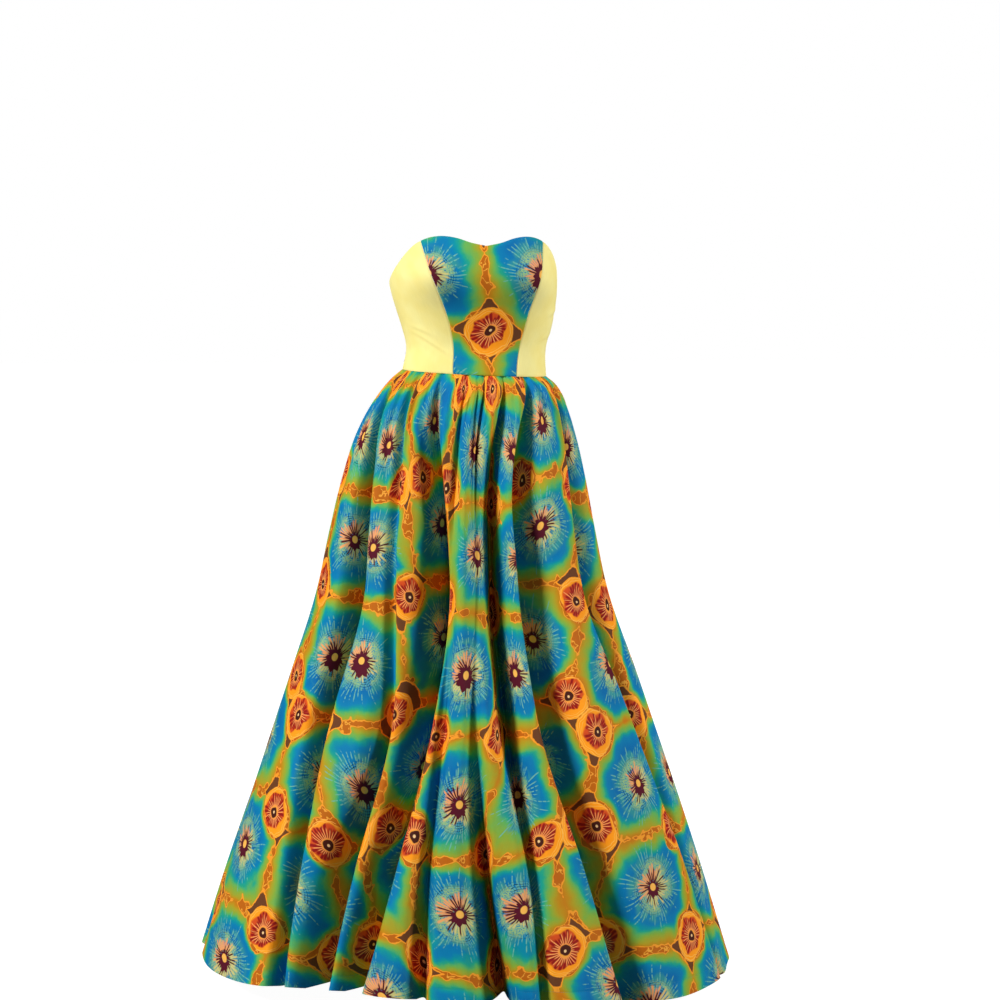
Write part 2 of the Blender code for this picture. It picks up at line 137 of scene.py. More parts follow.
def smooth_curve(places, values, at):
    """The values at any places of a smooth curve through the given ones."""
    places, values = np.array(places, float), np.array(values, float)
    at = np.clip(np.asarray(at, float), places[0], places[-1])
    slopes = np.gradient(values, places)
    i = np.clip(np.searchsorted(places, at) - 1, 0, len(places) - 2)
    step = places[i + 1] - places[i]
    u = (at - places[i]) / step
    rise = values[i + 1] - values[i]
    return (
        values[i]
        + rise * u * u * (3 - 2 * u)
        + step * u * (1 - u) * (slopes[i] * (1 - u) - slopes[i + 1] * u)
    )


def section_at(sections, place):
    """An outline's sizes, in its table's order, at a height or a distance down."""
    rows = np.array(sections)
    return [smooth_curve(rows[:, 0], rows[:, k], place) for k in range(1, rows.shape[1])]


def ease(u):
    """0 to 1 with a soft start and end."""
    u = np.clip(u, 0, 1)
    return u * u * (3 - 2 * u)


def oval_point(half_width, front, back, azimuth):
    """(x, y) on a rounded outline."""
    depth = np.where(np.cos(azimuth) > 0, front, back)
    return half_width * np.sin(azimuth), -depth * np.cos(azimuth)


def waist_height(azimuth):
    """The waist seam dips in front and rises towards the dress's own right."""
    return -WAIST_TILT * np.sin(azimuth) - WAIST_DIP * (1 + np.cos(azimuth)) / 2


def unit(ways):
    """Ways of length 1."""
    return ways / np.linalg.norm(ways, axis=-1, keepdims=True)


def wall_normals(points):
    """The outward unit normal at each point of a grid whose rows run down and columns run round."""
    return unit(np.cross(np.gradient(points, axis=0), np.gradient(points, axis=1)))


def lengths_along(points, axis):
    """How far each point of a grid is from the first one, along the rows or the columns."""
    steps = np.linalg.norm(np.diff(points, axis=axis), axis=2)
    start = np.zeros_like(steps.take([0], axis=axis))
    return np.cumsum(np.concatenate([start, steps], axis=axis), axis=axis)


def point_at(place, lengths, points):
    """The point, or points, at any length along a line of points."""
    return np.stack([np.interp(place, lengths, points[:, k]) for k in range(3)], axis=-1)


def held_back(points, at_start, at_end, reach=0.030):
    """The grid with its first and last columns held back by those widths, and the cloth next to
    them closed up evenly."""
    moved = points.copy()
    along = lengths_along(points, axis=1)
    for r, row in enumerate(along):
        total = row[-1]
        from_start = np.reshape(at_start, (-1,))[r % np.size(at_start)]
        from_end = np.reshape(at_end, (-1,))[r % np.size(at_end)]
        place = row + from_start * np.clip(1 - row / reach, 0, 1)
        place = place - from_end * np.clip(1 - (total - row) / reach, 0, 1)
        moved[r] = point_at(place, row, points[r])
    return moved


def seam_relief(across, down, total, sewn):
    """How far the cloth lies below its own surface: turned in and puckered along the seams at its
    start and its end. Sewn says yes or no for each."""
    relief = np.zeros_like(across)
    for seam, distance in zip(sewn, (across, total - across)):
        if seam:
            turn = np.clip(1 - distance / SEAM_TURN_WIDTH, 0, 1) ** 2
            drift = 1.7 * np.sin(down * 41 + 0.6) + 0.9 * np.sin(down * 97)
            wave = (1 + np.sin(2 * pi * down / PUCKER_PITCH + drift)) / 2
            fade = np.clip(1 - distance / PUCKER_REACH, 0, 1)
            strength = 0.5 + 0.5 * np.sin(down * 23 + 1.1)
            relief += SEAM_TURN * turn + PUCKER * wave * fade * strength
    return relief


def new_object(name, data):
    """A new object, put in the scene."""
    made = bpy.data.objects.new(name, data)
    bpy.context.scene.collection.objects.link(made)
    return made


def new_piece(name, points, faces, *materials):
    """A smooth piece that goes with the dress, from its points and its faces."""
    mesh = bpy.data.meshes.new(name)
    mesh.from_pydata(points, [], faces)
    for material in materials:
        mesh.materials.append(material)
    mesh.shade_smooth()
    piece = new_object(name, mesh)
    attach(piece, "garment")
    return piece


def cloth_piece(name, outer, flat_places, right_side, wrong_side, thickness=CLOTH):
    """One piece of cloth: its right side on the outer grid, its wrong side one thickness behind,
    and its cut edges. Flat places are each point's place on the flat cloth, in metres."""
    rows, columns = outer.shape[:2]
    inner = outer - wall_normals(outer) * np.reshape(thickness, (-1, 1, 1))
    points = np.concatenate([outer.reshape(-1, 3), inner.reshape(-1, 3)])
    at = np.arange(rows * columns).reshape(rows, columns)
    behind = at + rows * columns
    right = np.stack([at[:-1, :-1], at[1:, :-1], at[1:, 1:], at[:-1, 1:]], axis=-1)
    wrong = np.stack([behind[:-1, :-1], behind[:-1, 1:], behind[1:, 1:], behind[1:, :-1]], axis=-1)
    edges = []
    for line, under in (
        (at[0], behind[0]),
        (at[-1, ::-1], behind[-1, ::-1]),
        (at[::-1, 0], behind[::-1, 0]),
        (at[:, -1], behind[:, -1]),
    ):
        edges.append(np.stack([line[:-1], line[1:], under[1:], under[:-1]], axis=-1))
    faces = np.concatenate([part.reshape(-1, 4) for part in (right, wrong, *edges)])
    piece = new_piece(name, points.tolist(), faces.tolist(), right_side, wrong_side)
    mesh = piece.data
    count = right.size // 4
    slots = np.zeros(len(faces), np.int32)
    slots[count : 2 * count] = 1
    mesh.polygons.foreach_set("material_index", slots)
    layer = mesh.uv_layers.new(name="flat_cloth")
    corners = np.zeros(len(mesh.loops), np.int32)
    mesh.loops.foreach_get("vertex_index", corners)
    places = np.concatenate([flat_places.reshape(-1, 2)] * 2)[corners]
    layer.data.foreach_set("uv", places.astype(np.float32).ravel())
    mesh.set_sharp_from_angle(angle=CUT_EDGE)
    return piece


def bodice_surface(azimuth, height):
    """The bodice's outer surface, with the fullness of the two cups."""
    half_width, front, back, middle_x = section_at(BODICE, height)
    x, y = oval_point(half_width, front, back, azimuth)
    x = x + middle_x
    reach = np.where(height > CUP_HEIGHT, CUP_ABOVE, CUP_BELOW)
    level = np.exp(-(((height - CUP_HEIGHT) / reach) ** 2))
    across = sum(
        np.exp(-(((azimuth - side * CUP_AZIMUTH) / CUP_SPREAD) ** 2)) for side in (-1, 1)
    )
    rise = CUP_RISE * level * across
    return np.stack([x + rise * CUP_SIDEWAYS * np.sin(azimuth), y - rise, height + 0 * x], axis=-1)


def bodice_grid(start, end, columns):
    """A bodice piece's points, rows from the top edge down. Start and end are azimuths in
    degrees, or plus or minus one for the princess seams."""
    seams = np.array(PRINCESS_SEAM)
    edge = np.array(TOP_EDGE)
    rows = []
    for share in np.linspace(1, 0, BODICE_ROWS):
        princess = float(smooth_curve(seams[:, 0], seams[:, 1], share))
        ends = [princess * stop if abs(stop) == 1 else stop for stop in (start, end)]
        azimuth = np.radians(np.linspace(*ends, columns))
        top = smooth_curve(edge[:, 0], edge[:, 1], np.degrees(np.abs(azimuth)))
        low = waist_height(azimuth) + SEAM_GAP / 2
        rows.append(bodice_surface(azimuth, low + share * (top - low)))
    return np.array(rows)


def bodice_places(grid, zero_column):
    """Each point's place on the flat cloth, from the waist at one column."""
    across = lengths_along(grid, axis=1)
    across -= across[:, zero_column : zero_column + 1]
    down = lengths_along(grid, axis=0)
    return np.stack([across, down[-1:] - down], axis=-1)


def sewn_bodice_piece(name, start, end, columns, cloths, creases=None, sewn=(True, True)):
    """A bodice piece with its seams turned in, its top edge turned over and its creases, and the
    grid of its right side. An end that isn't sewn stops short at the zip's slot."""
    gaps = [SEAM_GAP / 2 if seam else ZIP_SLOT_HALF for seam in sewn]
    grid = held_back(bodice_grid(start, end, columns), *gaps)
    places = bodice_places(grid, 0 if start == -180 else columns // 2)
    across = lengths_along(grid, axis=1)
    down = lengths_along(grid, axis=0)
    relief = seam_relief(across, down, across[:, -1:], sewn)
    at_waist = np.clip(1 - (down[-1:] - down) / SEAM_TURN_WIDTH, 0, 1) ** 2
    at_top = np.clip(1 - down / SEAM_TURN_WIDTH, 0, 1) ** 2
    relief = np.maximum(relief, SEAM_TURN * at_waist) + 0.5 * SEAM_TURN * at_top
    if creases:
        relief -= creases(grid)
    grid = grid - wall_normals(grid) * relief[:, :, None]
    return cloth_piece(name, grid, places, *cloths), grid


# The print: blue blooms on a square lattice, an orange bloom between each four and a few in
# pairs. It is worked out on the flat cloth, and every measure is in metres.
PRINT_PITCH = 0.206
BLOOMS_PER_REPEAT = 3
BLUE_REACH = 0.103
ORANGE_REACH = 0.040
BLOOM_SWAY = 0.014
COLUMN_DROPS = (0.0, 0.0, 0.25)
PAIR_APART = 0.083
ORANGE_ON_BODICE = (0.000, 0.078)
WRONG_SIDE_FADE = 0.16
Bloom = namedtuple("Bloom", "across up reach kind")


def ink(red, green, blue):
    """A dye's colour from its sRGB values of 0 to 255, as the shader takes it."""
    shares = [part / 255 for part in (red, green, blue)]
    linear = [s / 12.92 if s <= 0.04045 else ((s + 0.055) / 1.055) ** 2.4 for s in shares]
    return (*linear, 1)


def bloom_places():
    """Where the blooms of one repeat are. Kind is 0 to 1 for a blue one and 1 to 2 for an orange
    one, and its fraction varies the strokes."""
    blooms = []
    for i in range(BLOOMS_PER_REPEAT):
        for j in range(BLOOMS_PER_REPEAT):
            number = 1 + i * BLOOMS_PER_REPEAT + j
            sway_across = BLOOM_SWAY * sin(number * 2.4)
            sway_up = BLOOM_SWAY * sin(number * 4.1 + 1)
            mark = (number * 0.618) % 1 * 0.9 + 0.05
            across = i * PRINT_PITCH
            up = (j + COLUMN_DROPS[i]) * PRINT_PITCH
            next_drop = COLUMN_DROPS[(i + 1) % BLOOMS_PER_REPEAT] - COLUMN_DROPS[i]
            blooms.append(Bloom(across + sway_across, up + sway_up, BLUE_REACH, mark))
            middle = (across + PRINT_PITCH / 2, up + PRINT_PITCH * (1 + next_drop) / 2)
            if (i, j) in ((1, 2), (2, 0)):
                lean = 0.25 if i == 1 else -0.9
                for side in (-1, 1):
                    off = side * PAIR_APART / 2
                    place = (middle[0] + off * cos(lean), middle[1] + off * sin(lean))
                    blooms.append(Bloom(*place, ORANGE_REACH, 1 + (mark + side * 0.2) % 1))
            else:
                place = (middle[0] + 0.4 * sway_up, middle[1] - 0.4 * sway_across)
                blooms.append(Bloom(*place, ORANGE_REACH, 1 + mark))
    return blooms


class Pen:
    """Adds nodes to one shader tree. Its methods return the new node's output."""

    def __init__(self, tree):
        self.tree = tree

    def node(self, kind, *given, **settings):
        """A node with its settings, and its inputs in order: links, values or None."""
        made = self.tree.nodes.new("ShaderNode" + kind)
        for name, value in settings.items():
            setattr(made, name, value)
        for socket, value in zip(made.inputs, given):
            if isinstance(value, bpy.types.NodeSocket):
                self.tree.links.new(value, socket)
            elif value is not None:
                socket.default_value = value
        return made

    def math(self, operation, *given):
        return self.node("Math", *given, operation=operation).outputs[0]

    def vector(self, operation, *given):
        return self.node("VectorMath", *given, operation=operation).outputs["Vector"]

    def length(self, vector):
        return self.node("VectorMath", vector, operation="LENGTH").outputs["Value"]

    def rise(self, value, low, high):
        """0 below low and 1 above high, soft between. With low over high it falls."""
        made = self.node("MapRange", value, low, high, 0.0, 1.0, interpolation_type="SMOOTHSTEP")
        return made.outputs[0]

    def band(self, value, start, full, fade, end):
        """1 from full to fade, and 0 before start and past end."""
        return self.both(self.rise(value, start, full), self.rise(value, end, fade))

    def both(self, *masks):
        """The masks' product."""
        product = masks[0]
        for mask in masks[1:]:
            product = self.math("MULTIPLY", product, mask)
        return product

    def noise(self, place, scale, detail=1.0):
        return self.node("TexNoise", place, None, scale, detail).outputs[0]

    def paint(self, mask, under, over):
        """Over's colour on under's, where the mask is 1."""
        made = self.node("Mix", mask, data_type="RGBA")
        for socket, value in ((made.inputs[6], under), (made.inputs[7], over)):
            if isinstance(value, bpy.types.NodeSocket):
                self.tree.links.new(value, socket)
            else:
                socket.default_value = value
        return made.outputs[2]

    def layers(self, colour, *layers):
        """Colours laid over each other in order, each given with the mask where it shows."""
        for mask, over in layers:
            colour = self.paint(mask, colour, over)
        return colour

    def bump(self, height, strength, distance):
        """A normal from a height."""
        made = self.node("Bump")
        made.inputs["Strength"].default_value = strength
        made.inputs["Distance"].default_value = distance
        self.tree.links.new(height, made.inputs["Height"])
        return made.outputs[0]

    def finish(self, socket, output):
        """Feeds one socket of the material's shader."""
        self.tree.links.new(output, self.tree.nodes["Principled BSDF"].inputs[socket])

    def ramp(self, value, stops):
        """A colour by value, from (value, colour) stops."""
        made = self.node("ValToRGB", value)
        points = made.color_ramp.elements
        while len(points) < len(stops):
            points.new(1.0)
        for point, (place, colour) in zip(points, stops):
            point.position = place
            point.color = colour
        return made.outputs[0]


def nearest_blooms(pen, place):
    """The way from the nearest bloom's middle, with its kind as the third part, and how far the
    three nearest are, each by its own reach."""
    repeat = PRINT_PITCH * BLOOMS_PER_REPEAT / 2
    nearest = (0, 0, 0)
    first = second = third = 9.0
    for bloom in bloom_places():
        away = pen.vector("SUBTRACT", place, (bloom.across, bloom.up, -bloom.kind))
        away = pen.vector("WRAP", away, (repeat, repeat, 9), (-repeat, -repeat, -9))
        scaled = pen.vector("MULTIPLY", away, (1 / bloom.reach, 1 / bloom.reach, 0))
        reach = pen.length(scaled)
        if first == 9.0:
            nearest, first = away, reach
            continue
        closer = pen.math("LESS_THAN", reach, first)
        chosen = pen.node("Mix", closer, data_type="VECTOR")
        pen.tree.links.new(nearest, chosen.inputs[4])
        pen.tree.links.new(away, chosen.inputs[5])
        nearest = chosen.outputs[1]
        third = pen.math("MINIMUM", third, pen.math("MAXIMUM", second, reach))
        second = pen.math("MINIMUM", second, pen.math("MAXIMUM", first, reach))
        first = pen.math("MINIMUM", first, reach)
    return nearest, first, second, third


# Thin strokes round a bloom: how many, half their width, the radii where the shortest and the
# longest end, the radius where they all start, and a number that sets them apart from the others
Strokes = namedtuple("Strokes", "count half_width shortest longest start own")
LONG_STROKES = Strokes(53, 0.0014, 0.050, 0.086, 0.034, 0.0)
SHORT_STROKES = Strokes(61, 0.0013, 0.042, 0.066, 0.028, 3.3)
CREAM_PETALS = Strokes(37, 0.0026, 0.028, 0.045, 0.011, 7.7)
PLUM_GAPS = Strokes(29, 0.0020, 0.016, 0.040, 0.010, 5.1)
RED_WEDGES = Strokes(25, 0.0036, 0.026, 0.042, 0.011, 0.0)
LIGHT_LINES = Strokes(29, 0.0012, 0.018, 0.036, 0.007, 2.2)

# The dyes of a bloom's ground, from its cell's border inwards
BORDER_TO_BLUE = (
    (0.00, ink(198, 118, 16)),
    (0.07, ink(190, 138, 22)),
    (0.14, ink(170, 158, 38)),
    (0.24, ink(132, 170, 60)),
    (0.33, ink(92, 174, 92)),
    (0.40, ink(36, 162, 128)),
    (0.48, ink(4, 146, 156)),
    (0.60, ink(0, 124, 174)),
    (1.00, ink(0, 108, 170)),
)
BORDER_TO_ORANGE = (
    (0.00, ink(206, 96, 16)),
    (0.05, ink(255, 178, 60)),
    (0.11, ink(255, 158, 28)),
    (1.00, ink(255, 150, 18)),
)


def spokes(pen, radius, turn, seed, strokes):
    """A mask of thin strokes round a bloom, each with its own length."""
    seed = pen.math("ADD", seed, strokes.own)
    step = pen.math("MULTIPLY_ADD", turn, float(strokes.count), seed)
    whole = pen.node("CombineXYZ", pen.math("FLOOR", step), seed).outputs[0]
    chance = pen.node("TexWhiteNoise", whole).outputs[0]
    middle = pen.math("MULTIPLY_ADD", chance, 0.36, 0.32)
    off = pen.math("ABSOLUTE", pen.math("SUBTRACT", pen.math("FRACT", step), middle))
    aside = pen.math("MULTIPLY", pen.math("MULTIPLY", off, radius), 2 * pi / strokes.count)
    end = pen.math("MULTIPLY_ADD", chance, strokes.longest - strokes.shortest, strokes.shortest)
    return pen.both(
        pen.rise(aside, strokes.half_width, 0.35 * strokes.half_width),
        pen.rise(pen.math("SUBTRACT", radius, end), 0.0, -0.006),
        pen.rise(radius, strokes.start, strokes.start + 0.003),
    )


def blue_bloom(pen, place, radius, turn, seed, inside):
    """The colour of a blue bloom's cell. Inside is 0 at the cell's border and 1 well within."""
    breadth = pen.math("MULTIPLY_ADD", pen.noise(place, 9.0), 2.2, -0.30)
    ground = pen.ramp(pen.math("MULTIPLY", inside, breadth), BORDER_TO_BLUE)
    angle = pen.math("MULTIPLY", turn, 2 * pi)
    patchy = pen.noise(place, 38.0)
    fine = pen.noise(place, 420.0)
    haze = pen.both(pen.rise(patchy, 0.44, 0.56), pen.band(radius, 0.036, 0.043, 0.054, 0.070))
    broken = pen.rise(pen.noise(place, 150.0), 0.38, 0.52)
    wander = pen.math("MULTIPLY", patchy, 1.1)
    rings = pen.math("FRACT", pen.math("MULTIPLY_ADD", radius, 230.0, wander))
    dark_arcs = pen.both(
        pen.rise(rings, 0.60, 0.74),
        pen.band(radius, 0.020, 0.026, 0.044, 0.054),
        pen.rise(fine, 0.42, 0.52),
    )
    sage = pen.both(
        pen.band(radius, 0.006, 0.010, 0.040, 0.052),
        pen.rise(patchy, 0.42, 0.52),
        pen.rise(fine, 0.42, 0.50),
    )
    upper_left = pen.rise(pen.math("SINE", pen.math("SUBTRACT", angle, pi / 4)), -0.1, 0.5)
    cream = pen.paint(upper_left, ink(206, 196, 124), ink(240, 160, 100))
    down = pen.math("MAXIMUM", pen.math("SINE", pen.math("MULTIPLY", angle, -1.0)), 0.0)
    points = pen.math("PINGPONG", pen.math("MULTIPLY", turn, 9.0), 0.5)
    arms = pen.math("MULTIPLY_ADD", points, 0.015, 0.0120)
    arms = pen.math("MULTIPLY_ADD", down, 0.010, arms)
    grown = pen.math("MULTIPLY_ADD", pen.math("FRACT", pen.math("MULTIPLY", seed, 3.7)), 0.55, 0.55)
    star = pen.math("MULTIPLY_ADD", fine, 0.003, pen.math("MULTIPLY", arms, grown))
    return pen.layers(
        ground,
        (haze, ink(46, 142, 150)),
        (pen.both(spokes(pen, radius, turn, seed, LONG_STROKES), broken), ink(108, 180, 160)),
        (spokes(pen, radius, turn, seed, SHORT_STROKES), ink(86, 164, 164)),
        (dark_arcs, ink(14, 52, 78)),
        (sage, ink(150, 186, 128)),
        (spokes(pen, radius, turn, seed, CREAM_PETALS), cream),
        (spokes(pen, radius, turn, seed, PLUM_GAPS), ink(74, 20, 36)),
        (pen.rise(pen.math("SUBTRACT", radius, star), 0.0008, -0.0008), ink(86, 16, 36)),
        (pen.rise(radius, 0.0078, 0.0064), ink(252, 186, 84)),
    )


def orange_bloom(pen, place, radius, turn, seed, inside):
    """The colour of an orange bloom's cell."""
    patchy = pen.noise(place, 60.0)
    wavy = pen.math("MULTIPLY", patchy, 2.5)
    lines = pen.math("FRACT", pen.math("MULTIPLY_ADD", radius, 260.0, wavy))
    angle = pen.math("MULTIPLY", turn, 2 * pi)
    lower_right = pen.math("MAXIMUM", pen.math("SINE", pen.math("ADD", angle, 0.75 * pi)), 0.0)
    lobes = pen.math("PINGPONG", pen.math("MULTIPLY_ADD", turn, 6.0, seed), 0.5)
    petal = pen.math("MULTIPLY_ADD", lobes, 0.012, 0.0275)
    petal = pen.math("MULTIPLY_ADD", patchy, 0.006, petal)
    petal = pen.math("MULTIPLY_ADD", lower_right, -0.007, petal)
    from_edge = pen.math("SUBTRACT", radius, petal)
    in_petal = pen.rise(from_edge, 0.0015, -0.0035)
    wedges = spokes(pen, radius, turn, seed, RED_WEDGES)
    light = spokes(pen, radius, turn, seed, LIGHT_LINES)
    ragged = pen.math("MULTIPLY_ADD", patchy, -0.010, radius)
    return pen.layers(
        pen.ramp(inside, BORDER_TO_ORANGE),
        (pen.both(pen.rise(lines, 0.70, 0.80), pen.rise(radius, 0.033, 0.036)), ink(255, 188, 84)),
        (pen.both(in_petal, pen.rise(radius, 0.009, 0.014)), ink(212, 78, 30)),
        (pen.both(wedges, pen.rise(from_edge, 0.000, -0.002)), ink(146, 22, 20)),
        (pen.both(light, in_petal), ink(248, 158, 88)),
        (pen.rise(radius, 0.0130, 0.0085), ink(246, 160, 60)),
        (pen.rise(ragged, 0.0050, 0.0034), ink(70, 28, 20)),
        (pen.rise(radius, 0.0030, 0.0020), ink(244, 200, 140)),
    )


def make_wax_print():
    """The print as a shader group: from a place on the flat cloth to its colour."""
    group = bpy.data.node_groups.new("wax_print", "ShaderNodeTree")
    group.interface.new_socket("Place", in_out="INPUT", socket_type="NodeSocketVector")
    group.interface.new_socket("Colour", in_out="OUTPUT", socket_type="NodeSocketColor")
    pen = Pen(group)
    flat = group.nodes.new("NodeGroupInput").outputs["Place"]
    drift = pen.node("TexNoise", flat, None, 11.0, 1.5).outputs[1]
    drift = pen.vector("SUBTRACT", drift, (0.5, 0.5, 0.5))
    drift = pen.vector("MULTIPLY", drift, (0.026, 0.026, 0))
    place = pen.vector("ADD", flat, drift)
    nearest, first, second, third = nearest_blooms(pen, place)
    parts = pen.node("SeparateXYZ", nearest)
    across, up, kind = parts.outputs
    radius = pen.length(pen.vector("MULTIPLY", nearest, (1, 1, 0)))
    turn = pen.math("MULTIPLY", pen.math("ARCTAN2", up, across), 1 / (2 * pi))
    seed = pen.math("MULTIPLY", kind, 10.0)
    ragged = pen.math("MULTIPLY_ADD", pen.noise(flat, 130.0), 0.10, -0.05)
    scallop = pen.math("MULTIPLY_ADD", pen.noise(flat, 30.0), 0.44, -0.22)
    inside = pen.math("ADD", pen.math("SUBTRACT", second, first), ragged)
    inside = pen.math("ADD", inside, scallop)
    is_orange = pen.math("GREATER_THAN", kind, 1.0)
    colour = pen.paint(
        is_orange,
        blue_bloom(pen, place, radius, turn, seed, inside),
        orange_bloom(pen, place, radius, turn, seed, inside),
    )
    torn = pen.math("MULTIPLY_ADD", pen.noise(flat, 24.0, 2.0), -1.1, 0.545)
    ribbon = pen.math("ADD", inside, torn)
    on_blue = pen.rise(is_orange, 0.6, 0.4)
    rim = pen.math("ABSOLUTE", pen.math("SUBTRACT", ribbon, 0.09))
    vein = pen.math("ABSOLUTE", pen.math("SUBTRACT", pen.noise(flat, 42.0, 2.0), 0.5))
    veins = pen.both(on_blue, pen.rise(ribbon, 0.06, 0.02), pen.rise(vein, 0.022, 0.010))
    corner = pen.math("MULTIPLY_ADD", ragged, 0.35, first)
    spread = pen.math("ADD", pen.math("SUBTRACT", third, first), ragged)
    outline = pen.both(pen.rise(corner, 1.078, 1.088), pen.rise(spread, 0.50, 0.47))
    patch = pen.both(pen.rise(corner, 1.102, 1.110), pen.rise(spread, 0.43, 0.40))
    colour = pen.layers(
        colour,
        (pen.both(on_blue, pen.rise(ribbon, 0.10, 0.06)), ink(188, 100, 16)),
        (pen.both(on_blue, pen.rise(rim, 0.034, 0.016)), ink(242, 156, 44)),
        (veins, ink(240, 166, 58)),
        (outline, ink(250, 156, 40)),
        (patch, ink(106, 62, 34)),
    )
    outlet = group.nodes.new("NodeGroupOutput")
    group.links.new(colour, outlet.inputs["Colour"])
    return group


def make_weave():
    """A plain weave as a shader group: from a place on the flat cloth to a height and a shade."""
    group = bpy.data.node_groups.new("plain_weave", "ShaderNodeTree")
    group.interface.new_socket("Place", in_out="INPUT", socket_type="NodeSocketVector")
    group.interface.new_socket("Height", in_out="OUTPUT", socket_type="NodeSocketFloat")
    group.interface.new_socket("Shade", in_out="OUTPUT", socket_type="NodeSocketFloat")
    pen = Pen(group)
    flat = group.nodes.new("NodeGroupInput").outputs["Place"]
    parts = pen.node("SeparateXYZ", flat)
    warp = pen.math("SINE", pen.math("MULTIPLY", parts.outputs[0], 2 * pi / (0.45 * MM)))
    weft = pen.math("SINE", pen.math("MULTIPLY", parts.outputs[1], 2 * pi / (0.45 * MM)))
    slub_place = pen.vector("MULTIPLY", flat, (900, 60, 0))
    slub = pen.noise(slub_place, 1.0)
    height = pen.math("ADD", pen.math("MULTIPLY", warp, weft), slub)
    shade = pen.math("MULTIPLY_ADD", slub, 0.10, 0.95)
    outlet = group.nodes.new("NodeGroupOutput")
    group.links.new(height, outlet.inputs["Height"])
    group.links.new(shade, outlet.inputs["Shade"])
    return group


wax_print = make_wax_print()
weave = make_weave()


def new_material(name, **values):
    """A material with the plain values of its shader set, and a pen for its nodes. A value's name
    is its socket's, with _ for each space."""
    made = bpy.data.materials.new(name)
    made.use_nodes = True
    surface = made.node_tree.nodes["Principled BSDF"]
    for socket, value in values.items():
        surface.inputs[socket.replace("_", " ")].default_value = value
    return made, Pen(made.node_tree)


def cotton(name, paint_colour, roughness, sheen):
    """A cotton cloth's material. Paint colour adds the nodes of its dye and returns the colour."""
    made, pen = new_material(
        name, Roughness=roughness, Sheen_Weight=sheen, Sheen_Roughness=0.5, Specular_IOR_Level=0.12
    )
    flat = pen.node("UVMap", uv_map="flat_cloth").outputs[0]
    threads = pen.node("Group", flat, node_tree=weave)
    colour = paint_colour(pen, flat)
    shaded = pen.vector("SCALE", colour, None, None, threads.outputs["Shade"])
    pen.finish("Base Color", shaded)
    pen.finish("Normal", pen.bump(threads.outputs["Height"], 0.25, 0.1 * MM))
    return made


def printed(shift, faded):
    """The print's dye, with the print moved on the cloth and faded by a share."""

    def paint_colour(pen, flat):
        moved = pen.vector("ADD", flat, (*shift, 0))
        colour = pen.node("Group", moved, node_tree=wax_print).outputs["Colour"]
        return pen.paint(faded, colour, ink(214, 206, 170)) if faded else colour

    return paint_colour


under_bust = next(bloom for bloom in bloom_places() if bloom.kind > 1)
bodice_shift = (under_bust.across - ORANGE_ON_BODICE[0], under_bust.up - ORANGE_ON_BODICE[1])
print_for_bodice = cotton("wax_print_bodice", printed(bodice_shift, 0.0), 0.7, 0.0)
faded_print = printed(bodice_shift, WRONG_SIDE_FADE)
print_bodice_wrong = cotton("wax_print_bodice_wrong_side", faded_print, 0.65, 0.05)

centre_front, _ = sewn_bodice_piece(
    "centre_front_cloth", -1, 1, CENTRE_FRONT_COLUMNS, (print_for_bodice, print_bodice_wrong)
)
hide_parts("bodice_centre_front")


# The yellow sides of the bodice
#
# Two plain dyed cotton pieces from the princess seams round to the side seams. The cloth drags
# a little towards the waist, with fine creases on both.


def dyed(darker, lighter):
    """A plain dye that took a little unevenly."""

    def paint_colour(pen, flat):
        patch = pen.rise(pen.noise(flat, 16.0, 2.0), 0.35, 0.65)
        return pen.paint(patch, darker, lighter)

    return paint_colour


right_dye = dyed(ink(250, 234, 142), ink(253, 241, 158))
wrong_dye = dyed(ink(246, 231, 154), ink(250, 237, 165))
yellow_right = cotton("yellow_cotton", right_dye, 0.6, 0.05)
yellow_wrong = cotton("yellow_cotton_wrong_side", wrong_dye, 0.7, 0.05)


# The fine creases of each side: the middle of each as (x, height), its slant up towards +X in
# degrees, its half length, its half width and how far it stands up
RIGHT_CREASES = (
    ((-0.088, 0.052), -36, 0.030, 0.0035, 1.1 * MM),
    ((-0.104, 0.075), -28, 0.020, 0.0040, 0.8 * MM),
)
LEFT_CREASES = (
    ((0.140, 0.106), 30, 0.016, 0.0050, 1.6 * MM),
    ((0.128, 0.062), 22, 0.018, 0.0045, 1.0 * MM),
)
HOLLOW_BESIDE_CREASE = 0.6


def crease_lift(grid, middle, slant, length, width, height):
    """How far one soft crease on the front lifts the cloth."""
    x = grid[:, :, 0] - middle[0]
    z = grid[:, :, 2] - middle[1]
    along = x * cos(radians(slant)) + z * sin(radians(slant))
    aside = z * cos(radians(slant)) - x * sin(radians(slant))
    ridge = np.exp(-((aside / width) ** 2))
    ridge -= HOLLOW_BESIDE_CREASE * np.exp(-(((aside + width) / width) ** 2))
    return height * ridge * np.exp(-((along / length) ** 2)) * (grid[:, :, 1] < 0)


def creased(creases):
    """How far all the creases of a side lift its cloth, by the grid of its points."""

    def lift(grid):
        return sum(crease_lift(grid, *crease) for crease in creases)

    return lift


for name, start, end, creases in (
    ("side_right", -SIDE_SEAM, -1, RIGHT_CREASES),
    ("side_left", 1, SIDE_SEAM, LEFT_CREASES),
):
    side, _ = sewn_bodice_piece(
        name + "_cloth", start, end, SIDE_COLUMNS, (yellow_right, yellow_wrong), creased(creases)
    )
    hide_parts("bodice_" + name)


# The yellow backs of the bodice
#
# Two more plain pieces from the side seams to the zip at the centre back. Each one stops short
# at the zip's slot, and a row of stitches runs beside that edge.

ZIP_STITCH_IN = 5.5 * MM

